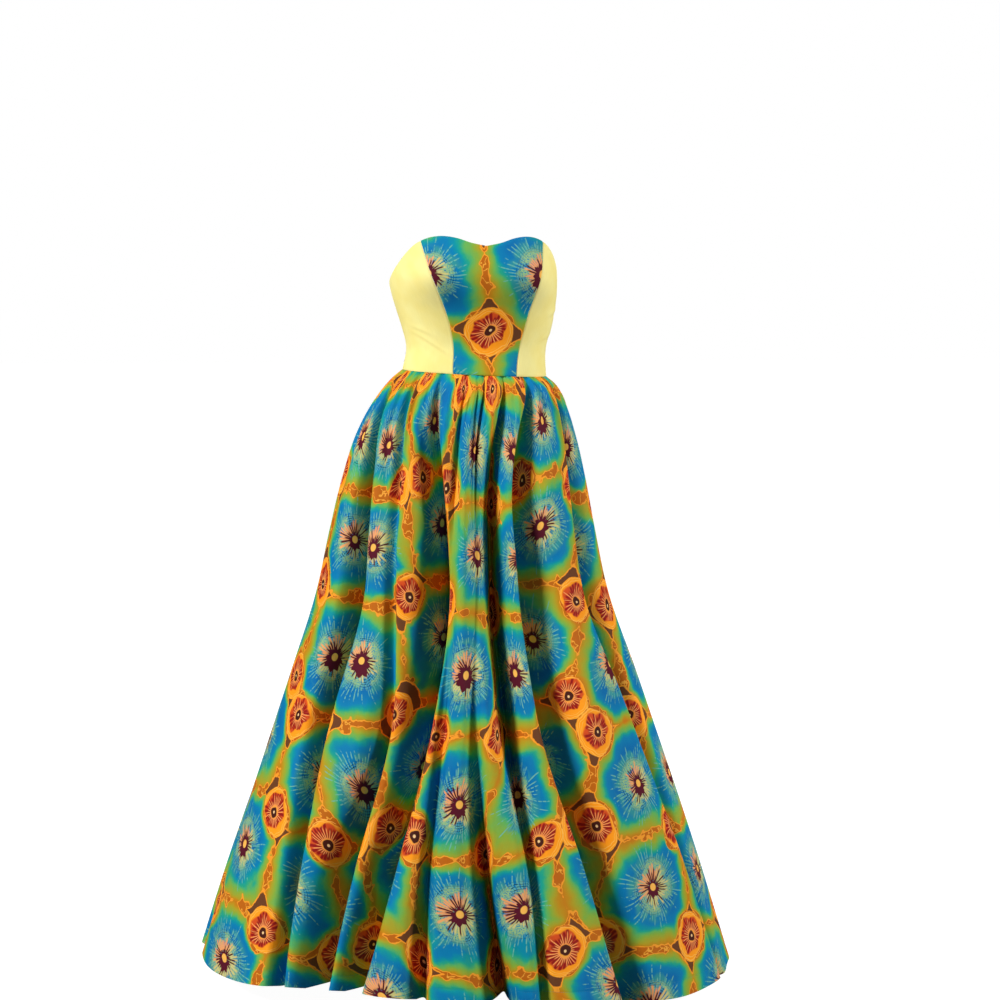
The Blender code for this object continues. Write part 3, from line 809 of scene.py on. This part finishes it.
# The drags across the small of the back: each one's height over the waist and its slant
BACK_DRAGS = ((0.026, 0.10), (0.048, -0.06))
BACK_DRAG_RISE = 0.7 * MM
BACK_DRAG_WIDTH = 6 * MM
BACK_DRAG_BEHIND = 30 * MM


def line_in_from_edge(grid, distance, at_end):
    """The points and the normals of a line that runs down a grid, at a distance in from its first
    or its last column."""
    normals = wall_normals(grid)
    along = lengths_along(grid, axis=1)
    points, ways = [], []
    for r, row in enumerate(along):
        place = row[-1] - distance if at_end else distance
        points.append(point_at(place, row, grid[r]))
        ways.append(point_at(place, row, normals[r]))
    return np.array(points), np.array(ways)


def back_creases(grid):
    """Two shallow drags across the small of the back."""
    z = grid[:, :, 2]
    lift = np.zeros(z.shape)
    for height, slant in BACK_DRAGS:
        aside = z - height - slant * np.abs(grid[:, :, 0])
        lift += BACK_DRAG_RISE * np.exp(-((aside / BACK_DRAG_WIDTH) ** 2))
    return lift * (grid[:, :, 1] > BACK_DRAG_BEHIND)


bodice_stitch_lines = []
for name, start, end, sewn in (
    ("back_right", -180, -SIDE_SEAM, (False, True)),
    ("back_left", SIDE_SEAM, 180, (True, False)),
):
    back, back_grid = sewn_bodice_piece(
        name + "_cloth", start, end, BACK_COLUMNS, (yellow_right, yellow_wrong), back_creases, sewn
    )
    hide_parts("bodice_" + name)
    bodice_stitch_lines.append(line_in_from_edge(back_grid, ZIP_STITCH_IN, name == "back_left"))


# The skirt
#
# Three flared widths of the print, seamed together, gathered into the waist and hemmed. Large
# folds start at the gathers, run down and open out to the hem.

SKIRT_LENGTH = 1.060
SKIRT_PRINT_SHIFT = (0.020, 0.130)

# The outline through the ridges of the folds: the distance below the waist seam, half the width,
# how far the front and the back lie from the middle, and where the middle is
SKIRT = (
    (0.000, 0.1330, 0.104, 0.096, 0.004),
    (0.012, 0.1480, 0.114, 0.105, 0.004),
    (0.030, 0.1630, 0.129, 0.120, 0.002),
    (0.060, 0.1800, 0.144, 0.140, -0.003),
    (0.110, 0.2010, 0.160, 0.165, -0.009),
    (0.180, 0.2210, 0.178, 0.188, -0.013),
    (0.280, 0.2440, 0.203, 0.212, -0.016),
    (0.400, 0.2700, 0.231, 0.240, -0.016),
    (0.540, 0.3170, 0.272, 0.282, -0.013),
    (0.700, 0.3730, 0.320, 0.331, -0.012),
    (0.880, 0.4330, 0.370, 0.382, -0.011),
    (1.060, 0.4900, 0.414, 0.426, -0.010),
)

# How far below the waist the hem hangs, by azimuth in degrees
HEM = (
    (-180, 1.060),
    (-100, 1.060),
    (-64, 1.064),
    (-48, 1.050),
    (-34, 1.045),
    (-10, 1.060),
    (20, 1.082),
    (50, 1.104),
    (76, 1.100),
    (110, 1.080),
    (180, 1.060),
)

# Every large fold's trough: its azimuth in degrees at six levels below the waist, its depth in
# millimetres at the same levels, then how far its bottom leans towards a higher azimuth, as a
# share of its depth. The rows run from the right side seam round the front.
LEVELS = (0.0, 0.15, 0.35, 0.60, 0.85, 1.06)
Trough = namedtuple(
    "Trough",
    "waist hip thigh knee shin hem waist_mm hip_mm thigh_mm knee_mm shin_mm hem_mm lean",
)
TROUGHS = (
    Trough(-100, -100, -100, -99, -97, -96, 4, 22, 36, 44, 50, 52, 0.1),
    Trough(-77, -66, -60, -60, -56, -53, 4, 39, 75, 69, 47, 41, -0.2),
    Trough(-55, -45, -40, -37, -43, -45, 4, 19, 17, 45, 88, 100, 0.12),
    Trough(-35, -28, -24, -27, -32, -36, 4, 47, 88, 94, 80, 75, 0.25),
    Trough(-15, -14, -15, -17, -20, -20, 4, 19, 14, 28, 36, 47, 0.1),
    Trough(-2, -5, -6, -8, -7, -4, 4, 17, 17, 22, 63, 91, 0.25),
    Trough(13, 5, 3, 3, 6, 6, 4, 44, 77, 69, 30, 28, 0.15),
    Trough(33, 23, 23, 20, 25, 29, 4, 50, 91, 88, 75, 83, -0.25),
    Trough(60, 58, 52, 56, 60, 62, 4, 41, 55, 36, 19, 14, -0.1),
    Trough(86, 86, 85, 84, 83, 83, 4, 25, 41, 55, 75, 86, 0.15),
    Trough(110, 110, 112, 114, 114, 112, 4, 36, 61, 69, 75, 80, -0.2),
    Trough(135, 136, 138, 136, 134, 136, 4, 28, 36, 50, 80, 94, 0.2),
    Trough(161, 160, 160, 161, 162, 160, 4, 25, 55, 75, 77, 69, -0.15),
    Trough(199, 200, 200, 199, 197, 198, 4, 25, 47, 63, 86, 97, 0.2),
    Trough(221, 220, 222, 222, 224, 226, 4, 30, 63, 69, 58, 52, -0.2),
    Trough(241, 241, 240, 241, 243, 245, 4, 25, 30, 52, 75, 86, 0.2),
)
FOLDS = len(TROUGHS)
FRONT_END = 9
BACK_SEAM = 12.5
TROUGH_WIDTH = 5 * MM
TROUGH_SPREAD = 0.23
TROUGH_POWER = 2.2
COLUMNS_PER_FOLD = 40
ROWS_ABOVE_HEM = 112

# How close the columns lie in the troughs, and the distance below the waist where they do
CROWDING = 0.62
CROWDED_BY = 0.30

# The hem rises at the ridges, and no more where the cloth lies this far in
RIDGE_LIFT = 10 * MM
LIFT_GONE_AT = 40 * MM

# The flat strip on each side of the zip and how it ends, in folds
PLAIN_BY_ZIP = 0.22
PLAIN_FADE = 0.14

# The sharp crease at the bottom of a deep trough
CREASE_HALF = 7.0 * MM
CREASE_FROM = 30 * MM
CREASE_SHARE = 0.42

# The gathers: broad ones that fade down the thigh, and fine tucks that the seam holds
GATHERS_PER_FOLD = 3
GATHER_SEAM = 2.2 * MM
GATHER_DEEPEST = 7.5 * MM
GATHER_DEEPEST_AT = 0.045
GATHER_END = 0.36
TUCKS_PER_FOLD = 7
TUCK = 1.8 * MM
TUCK_END = 0.075

# The soft creases between the folds, fainter in the troughs
SOFT_CREASE = 2.6 * MM
SOFT_CREASE_FROM = 0.25
SOFT_CREASE_LESS = 0.6

# The slot for the zip, the turned hem, and how the cloth turns in at the seams
ZIP_SKIRT_END = 0.110
STITCHED_BELOW_ZIP = 6 * MM
ZIP_SEAM_FROM = 0.180
HEM_TURN = 0.025
HEM_THICKNESS = 1.5 * CLOTH
HEM_STITCH_DIP = 0.5 * MM
HEM_STITCH_WIDTH = 1.5 * MM
SKIRT_TURN_WIDTH = 3 * MM

# Each width is cut flared: at the waist it is this share of its width at the hem
FLARE_AT_WAIST = 0.70


def troughs_at(drop):
    """Every trough's azimuth and depth at a distance down, with one azimuth more for the way
    round."""
    table = np.array(TROUGHS, float)
    count = len(LEVELS)
    azimuths = [float(smooth_curve(LEVELS, row[:count], drop)) for row in table]
    depths = [float(smooth_curve(LEVELS, row[count : 2 * count], drop)) * MM for row in table]
    return np.radians(azimuths + [azimuths[0] + 360]), np.array(depths)


def gather_depth(drop):
    """How deep the broad gathers are at a distance down."""
    if drop < GATHER_DEEPEST_AT:
        return GATHER_SEAM + (GATHER_DEEPEST - GATHER_SEAM) * ease(drop / GATHER_DEEPEST_AT)
    return GATHER_DEEPEST * (1 - ease((drop - GATHER_DEEPEST_AT) / (GATHER_END - GATHER_DEEPEST_AT)))


def fine_relief(folds, drop):
    """How far the fine tucks and the soft creases between the folds lie in from the surface."""
    drift = 0.9 * np.sin(folds * 3.7) + 0.5 * np.sin(folds * 9.1 + 2)
    tuck = ((1 + np.cos(2 * pi * TUCKS_PER_FOLD * folds + 2.5 * drift)) / 2) ** 2
    tuck = tuck * TUCK * (0.55 + 0.45 * np.sin(folds * 5.3 + 0.4)) * (1 - ease(drop / TUCK_END))
    wander = 0.5 * np.sin(drop * 4.2 + folds * 0.8)
    crease = np.sin(2 * pi * (folds * 1.93 + wander)) * np.sin(2 * pi * folds * 0.37 + drop * 3)
    crease *= SOFT_CREASE * ease(drop / SOFT_CREASE_FROM)
    crease *= 1 - SOFT_CREASE_LESS * np.cos(pi * folds) ** 2
    hem = SKIRT_LENGTH - drop
    stitch = HEM_STITCH_DIP * np.exp(-(((hem - HEM_TURN) / HEM_STITCH_WIDTH) ** 2))
    return tuck + crease + stitch


def skirt_row(folds, drop):
    """The points of the skirt's outer surface at a distance below the waist seam. Folds count
    the large folds round the skirt, with a trough at each whole number."""
    azimuths, depths = troughs_at(drop)
    index = np.floor(folds).astype(int)
    share = folds - index
    crowding = CROWDING * ease(drop / CROWDED_BY)
    share_round = share - crowding * np.sin(2 * pi * share) / (2 * pi)
    azimuth = azimuths[index] + (azimuths[index + 1] - azimuths[index]) * share_round
    half_width, front, back, middle_x = section_at(SKIRT, drop)
    x, y = oval_point(half_width, front, back, azimuth)
    radius = np.hypot(x, y)
    inset = np.zeros_like(folds)
    aside = np.zeros_like(folds)
    for middle, depth, trough in zip(azimuths, depths, TROUGHS):
        apart = (azimuth - middle + pi) % (2 * pi) - pi
        width = TROUGH_WIDTH + TROUGH_SPREAD * depth
        dip = depth * np.exp(-((np.abs(apart) * radius / width) ** TROUGH_POWER))
        sharp = CREASE_SHARE * max(depth - CREASE_FROM, 0)
        dip += sharp * np.exp(-((apart * radius / CREASE_HALF) ** 2))
        inset += dip
        aside += dip * trough.lean
    from_zip = np.abs(folds - BACK_SEAM)
    wave = (1 + np.cos(2 * pi * GATHERS_PER_FOLD * share)) / 2
    uneven = 0.75 + 0.35 * np.sin(folds * 4.1 + 0.7) * np.sin(folds * 1.7)
    plain = ease((from_zip - PLAIN_BY_ZIP) / PLAIN_FADE)
    gather = gather_depth(drop) * wave * uneven * plain + fine_relief(folds, drop) * plain
    depth_way = np.where(np.cos(azimuth) > 0, front, back)
    inward = np.stack([-np.sin(azimuth) / half_width, np.cos(azimuth) / depth_way])
    inward /= np.linalg.norm(inward, axis=0)
    along = np.stack([inward[1], -inward[0]])
    x, y = np.stack([x, y]) + inward * (inset + gather) + along * aside
    down = drop / SKIRT_LENGTH
    hem = np.array(HEM)
    turned = (np.degrees(azimuth) + 180) % 360 - 180
    longer = smooth_curve(hem[:, 0], hem[:, 1], turned) - SKIRT_LENGTH
    lift = RIDGE_LIFT * (1 - np.clip(inset / LIFT_GONE_AT, 0, 1))
    waist = (waist_height(azimuth) - SEAM_GAP / 2) * (1 - down)
    height = waist - drop + (lift - longer) * down**2
    return np.stack([x + middle_x, y, height], axis=1)


def skirt_drops():
    """The rows' distances below the waist: close at the gathers and at the hem."""
    share = np.linspace(0, 1, ROWS_ABOVE_HEM)
    upper = (SKIRT_LENGTH - HEM_TURN - 4 * MM) * (0.32 * share + 0.68 * share**2)
    at_stitches = [HEM_TURN + HEM_STITCH_WIDTH, HEM_TURN, HEM_TURN - HEM_STITCH_WIDTH]
    lower = SKIRT_LENGTH - np.array(at_stitches + [14 * MM, 3 * MM, 0])
    return np.concatenate([upper, lower])


def skirt_places(grid):
    """Each point's place on the flat cloth, round the skirt and up from the hem's level. The
    lengths down are evened out over each fold."""
    around = lengths_along(grid, axis=1)
    down = lengths_along(grid, axis=0)
    ring = down[:, :-1]
    offsets = range(-COLUMNS_PER_FOLD // 2, COLUMNS_PER_FOLD // 2 + 1, 4)
    even = sum(np.roll(ring, offset, axis=1) for offset in offsets) / len(offsets)
    even = np.concatenate([even, even[:, :1]], axis=1)
    return around, even


drops = skirt_drops()
ring_folds = np.linspace(0, FOLDS, FOLDS * COLUMNS_PER_FOLD + 1)
wrapped = np.minimum(ring_folds, FOLDS - 1e-9)
skirt_grid = np.array([skirt_row(wrapped, drop) for drop in drops])
around, down_cloth = skirt_places(skirt_grid)
skirt_thickness = np.where(SKIRT_LENGTH - drops < HEM_TURN, HEM_THICKNESS, CLOTH)

print_for_skirt = cotton("wax_print_skirt", printed(SKIRT_PRINT_SHIFT, 0.0), 0.7, 0.0)
faded_print = printed(SKIRT_PRINT_SHIFT, WRONG_SIDE_FADE)
print_skirt_wrong = cotton("wax_print_skirt_wrong_side", faded_print, 0.65, 0.05)

slot_share = 1 - ease((drops - ZIP_SKIRT_END) / (ZIP_SEAM_FROM - ZIP_SKIRT_END))
slot = SEAM_GAP / 2 + (ZIP_SLOT_HALF - SEAM_GAP / 2) * slot_share
seam = SEAM_GAP / 2

skirt_stitch_lines = []
hem_row = int(np.argmin(np.abs(SKIRT_LENGTH - drops - HEM_TURN)))
zip_rows = drops < ZIP_SKIRT_END + STITCHED_BELOW_ZIP
for name, first, last, gaps, flat_width in (
    ("skirt_front", 0, FRONT_END, (seam, seam), 2.06),
    ("skirt_back_left", FRONT_END, BACK_SEAM, (seam, slot), 1.07),
    ("skirt_back_right", BACK_SEAM, FOLDS, (slot, seam), 1.07),
):
    cut_width = flat_width * (FLARE_AT_WAIST + (1 - FLARE_AT_WAIST) * drops / SKIRT_LENGTH)
    span = slice(round(first * COLUMNS_PER_FOLD), round(last * COLUMNS_PER_FOLD) + 1)
    grid = held_back(skirt_grid[:, span], *gaps)
    share = around[:, span] - around[:, span][:, :1]
    share = share / share[:, -1:]
    across = (share - 0.5) * cut_width[:, None]
    places = np.stack([across, -down_cloth[:, span]], axis=-1)
    from_seam = cut_width[:, None] / 2 - np.abs(across)
    turn = np.clip(1 - from_seam / SKIRT_TURN_WIDTH, 0, 1) ** 2
    grid = grid - wall_normals(grid) * (SEAM_TURN * turn)[:, :, None]
    width = cloth_piece(
        name + "_cloth", grid, places, print_for_skirt, print_skirt_wrong, skirt_thickness
    )
    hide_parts(name)
    skirt_stitch_lines.append((grid[hem_row], wall_normals(grid)[hem_row]))
    if name != "skirt_front":
        points, ways = line_in_from_edge(grid, ZIP_STITCH_IN, name == "skirt_back_left")
        skirt_stitch_lines.append((points[zip_rows], ways[zip_rows]))


# The stitching
#
# Spun thread in the cloth's own colours: one row of machine stitches beside each edge of the
# zip, and one row that holds the turned hem.

STITCH_LENGTH = 2.5 * MM
STITCH_STEP = 3.2 * MM
STITCH_HALF = 0.28 * MM
STITCH_RISE = 0.22 * MM

# The rings of a stitch: each one's share of its length, of its rise and of its width
STITCH_RINGS = ((0, -0.2, 0.5), (0.5, 1.0, 1.0), (1, -0.2, 0.5))


def tube_faces(first, rings, sides):
    """The faces of a closed tube, whose rings of points follow each other from a first one."""
    last = first + (rings - 1) * sides
    faces = [[first + k for k in reversed(range(sides))], [last + k for k in range(sides)]]
    for ring in range(first, last, sides):
        for k in range(sides):
            a, b = ring + k, ring + (k + 1) % sides
            faces.append([a, b, b + sides, a + sides])
    return faces


def make_stitches(name, lines, thread):
    """Rows of stitches along lines of points with the cloth's normals. Each stitch is a small
    closed lozenge whose ends dip into the cloth."""
    vertices, faces = [], []
    for points, ways in lines:
        length = lengths_along(points[None], axis=1)[0]
        for start in np.arange(STITCH_STEP, length[-1] - STITCH_STEP, STITCH_STEP):
            rings = []
            for share, rise, half in STITCH_RINGS:
                at = start + share * STITCH_LENGTH
                middle = point_at(at, length, points)
                way = point_at(at, length, ways)
                ahead = point_at(at + 1 * MM, length, points)
                aside = half * STITCH_HALF * unit(np.cross(way, ahead - middle))
                top = way * rise * STITCH_RISE
                under = top - way * 2 * STITCH_RISE
                rings.append([middle + top, middle + aside, middle + under, middle - aside])
            faces += tube_faces(len(vertices), len(rings), len(rings[0]))
            vertices += [tuple(corner) for ring in rings for corner in ring]
    new_piece(name, vertices, faces, thread)


def make_thread(name, dark, light):
    """Spun thread, with a fine twist."""
    made, pen = new_material(name, Roughness=0.6)
    place = pen.node("TexCoord").outputs["Object"]
    fibre = pen.noise(pen.vector("MULTIPLY", place, (2600, 2600, 900)), 1.0, 2.0)
    pen.finish("Base Color", pen.paint(pen.rise(fibre, 0.35, 0.65), dark, light))
    return made


yellow_thread = make_thread("yellow_thread", ink(206, 176, 84), ink(250, 226, 132))
blue_thread = make_thread("blue_thread", ink(12, 92, 122), ink(36, 138, 160))
make_stitches("bodice_stitches", bodice_stitch_lines, yellow_thread)
make_stitches("skirt_stitches", skirt_stitch_lines, blue_thread)


# The zip
#
# A nylon coil zip down the centre back, set behind an open slot: a woven tape, a moulded coil, an
# enamelled slider and its pull. The tape, the slider and the pull are the CAD parts.

COIL_HALF = 1.9 * MM
COIL_RISE = 0.45 * MM
COIL_WIRE = 0.36 * MM
COIL_PITCH = 1.3 * MM
COIL_SIDES = 6
COIL_TURN_POINTS = 12
COIL_BELOW_SLIDER = 0.128
TAPE_ROWS_APART = 3 * MM
TAPE_MIDDLE = 2 * MM


def tape_middle_line(tape):
    """The middle line of the tape's outer face, from the top down, read off its CAD mesh."""
    places = np.array([tuple(vertex.co) for vertex in tape.data.vertices])
    places = np.unique(np.round(places, 6), axis=0)
    places = places[np.argsort(-places[:, 2])]
    breaks = np.nonzero(-np.diff(places[:, 2]) > TAPE_ROWS_APART)[0] + 1
    line = []
    for row in np.split(places, breaks):
        middle = (row[:, 0].min() + row[:, 0].max()) / 2
        centre = row[np.abs(row[:, 0] - middle) < TAPE_MIDDLE]
        line.append(centre[np.argmax(centre[:, 1])])
    return np.array(line)


def make_coil(line, material):
    """The zip's teeth: one flattened coil of monofilament that lies on the tape."""
    line = line[::-1]
    start, end = line[0, 2] + 2 * MM, COIL_BELOW_SLIDER
    turns = int((end - start) / COIL_PITCH)
    heights = np.linspace(start, end, turns * COIL_TURN_POINTS)
    middle = point_at(heights, line[:, 2], line)
    phase = np.arange(len(heights)) * 2 * pi / COIL_TURN_POINTS
    tangent = unit(np.gradient(middle, axis=0))
    out = unit(np.stack([np.zeros(len(heights)), tangent[:, 2], -tangent[:, 1]], axis=1))
    across = np.cross(tangent, out)
    rise = COIL_WIRE + COIL_RISE * (1 + np.sin(phase))
    wire = middle + across * (COIL_HALF * np.cos(phase))[:, None] + out * rise[:, None]
    ahead = unit(np.gradient(wire, axis=0))
    side = unit(np.cross(ahead, tangent))
    up = np.cross(side, ahead)
    rings = []
    for k in range(COIL_SIDES):
        angle = 2 * pi * k / COIL_SIDES
        rings.append(wire + COIL_WIRE * (side * cos(angle) + up * sin(angle)))
    vertices = np.stack(rings, axis=1).reshape(-1, 3).tolist()
    faces = tube_faces(0, len(heights), COIL_SIDES)
    new_piece("zip_coil", vertices, faces, material)


def hard_material(name, dark, light, roughness, speck, coat):
    """A dyed or enamelled material with fine specks in its colour and its roughness."""
    made, pen = new_material(name, Coat_Weight=coat)
    grain = pen.noise(pen.node("TexCoord").outputs["Object"], speck, 2.0)
    pen.finish("Base Color", pen.paint(pen.rise(grain, 0.35, 0.65), dark, light))
    pen.finish("Roughness", pen.math("MULTIPLY_ADD", grain, 0.2, roughness - 0.1))
    pen.finish("Normal", pen.bump(grain, 0.2, 0.05 * MM))
    return made


def make_tape_weave():
    """The tape's herringbone weave, worked out on its own coordinates."""
    made, pen = new_material("zip_tape_herringbone", Roughness=0.8, Specular_IOR_Level=0.2)
    parts = pen.node("SeparateXYZ", pen.node("TexCoord").outputs["Object"])
    zigzag = pen.math("PINGPONG", parts.outputs[0], 1.5 * MM)
    along = pen.math("ADD", parts.outputs[2], zigzag)
    rib = pen.math("SINE", pen.math("MULTIPLY", along, 2 * pi / (0.8 * MM)))
    colour = pen.paint(pen.rise(rib, -0.8, 0.8), ink(214, 186, 104), ink(246, 224, 140))
    pen.finish("Base Color", colour)
    pen.finish("Normal", pen.bump(rib, 0.5, 0.1 * MM))
    return made


nylon = hard_material("zip_nylon", ink(226, 200, 112), ink(248, 228, 150), 0.4, 900.0, 0.0)
enamel = hard_material("zip_gloss_enamel", ink(238, 215, 126), ink(243, 221, 132), 0.3, 1500.0, 0.4)
make_coil(tape_middle_line(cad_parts["zip_tape"]), nylon)
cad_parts["zip_tape"].material_slots[0].material = make_tape_weave()
for name in ("zip_slider", "zip_pull"):
    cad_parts[name].material_slots[0].material = enamel


# The floor
#
# A roll of white studio paper, laid out flat. It shows nearly white, and the dress darkens it a
# little where it stands.

FLOOR_REACH = 60.0
FLOOR_GLOW = 0.975
FLOOR_SHADE_REACH = 6.0

floor_mesh = bpy.data.meshes.new("floor")
floor_level = cad_box[0][2] - 1 * MM
sides = ((-1, -1), (1, -1), (1, 1), (-1, 1))
corners = [(x * FLOOR_REACH, y * FLOOR_REACH, floor_level) for x, y in sides]
floor_mesh.from_pydata(corners, [], [(0, 1, 2, 3)])
paper, pen = new_material(
    "floor_paper",
    Base_Color=(0.22, 0.22, 0.22, 1),
    Roughness=0.9,
    Specular_IOR_Level=0.1,
    Emission_Color=(1, 1, 1, 1),
)
away = pen.length(pen.node("TexCoord").outputs["Object"])
glow = pen.node("MapRange", away, 1.0, FLOOR_SHADE_REACH, FLOOR_GLOW, 1.0).outputs[0]
seen = pen.node("LightPath").outputs["Is Camera Ray"]
pen.finish("Emission Strength", pen.math("MULTIPLY", seen, glow))
floor_mesh.materials.append(paper)
new_object("floor", floor_mesh)


# The lights
#
# Soft studio lights: one on each side in front, the one on the dress's right brighter, and one
# high up behind. The white surroundings give little light of their own, so the folds stay deep.

SKY_LIGHT = 0.06
SKY_SEEN = 1.0

# Each lamp's name, its place, what it is turned to, its width and its watts
LAMPS = (
    ("key", (-3.9, -2.0, 2.2), (0, 0, -0.4), 1.0, 262),
    ("fill", (3.9, -2.2, 1.8), (0, 0, -0.5), 1.2, 190),
    ("back", (1.5, 4.2, 4.0), (0, 0, -0.4), 1.6, 330),
)
for name, place, target, width, watts in LAMPS:
    light = bpy.data.lights.new(name, "AREA")
    light.shape = "SQUARE"
    light.size = width
    light.energy = watts
    lamp = new_object(name, light)
    lamp.location = place
    way = np.array(place) - np.array(target)
    tilt = np.arctan2(np.hypot(way[0], way[1]), way[2])
    lamp.rotation_euler = (tilt, 0, np.arctan2(way[0], -way[1]))

world = bpy.data.worlds.new("studio")
bpy.context.scene.world = world
world.use_nodes = True
sky = world.node_tree.nodes["Background"]
sky.inputs["Color"].default_value = (1, 1, 1, 1)
pen = Pen(world.node_tree)
seen = pen.node("LightPath").outputs["Is Camera Ray"]
glow = pen.math("MULTIPLY_ADD", seen, SKY_SEEN - SKY_LIGHT, SKY_LIGHT)
world.node_tree.links.new(glow, sky.inputs["Strength"])
bpy.context.scene.view_settings.view_transform = "Standard"


# The camera
#
# A long lens just above waist height, four metres off and a little to the dress's right. Its
# frame cuts the front of the hem.

CAMERA_PLACE = (-0.831, -3.961, 0.090)
CAMERA_TURN = 12.57
CAMERA_TILT = 4.60
CAMERA_LENS = 79.9
camera_data = bpy.data.cameras.new("camera")
camera_data.lens = CAMERA_LENS
camera_data.sensor_width = 36
camera = new_object("camera", camera_data)
camera.location = CAMERA_PLACE
camera.rotation_euler = (radians(90 - CAMERA_TILT), 0, radians(-CAMERA_TURN))
bpy.context.scene.camera = camera
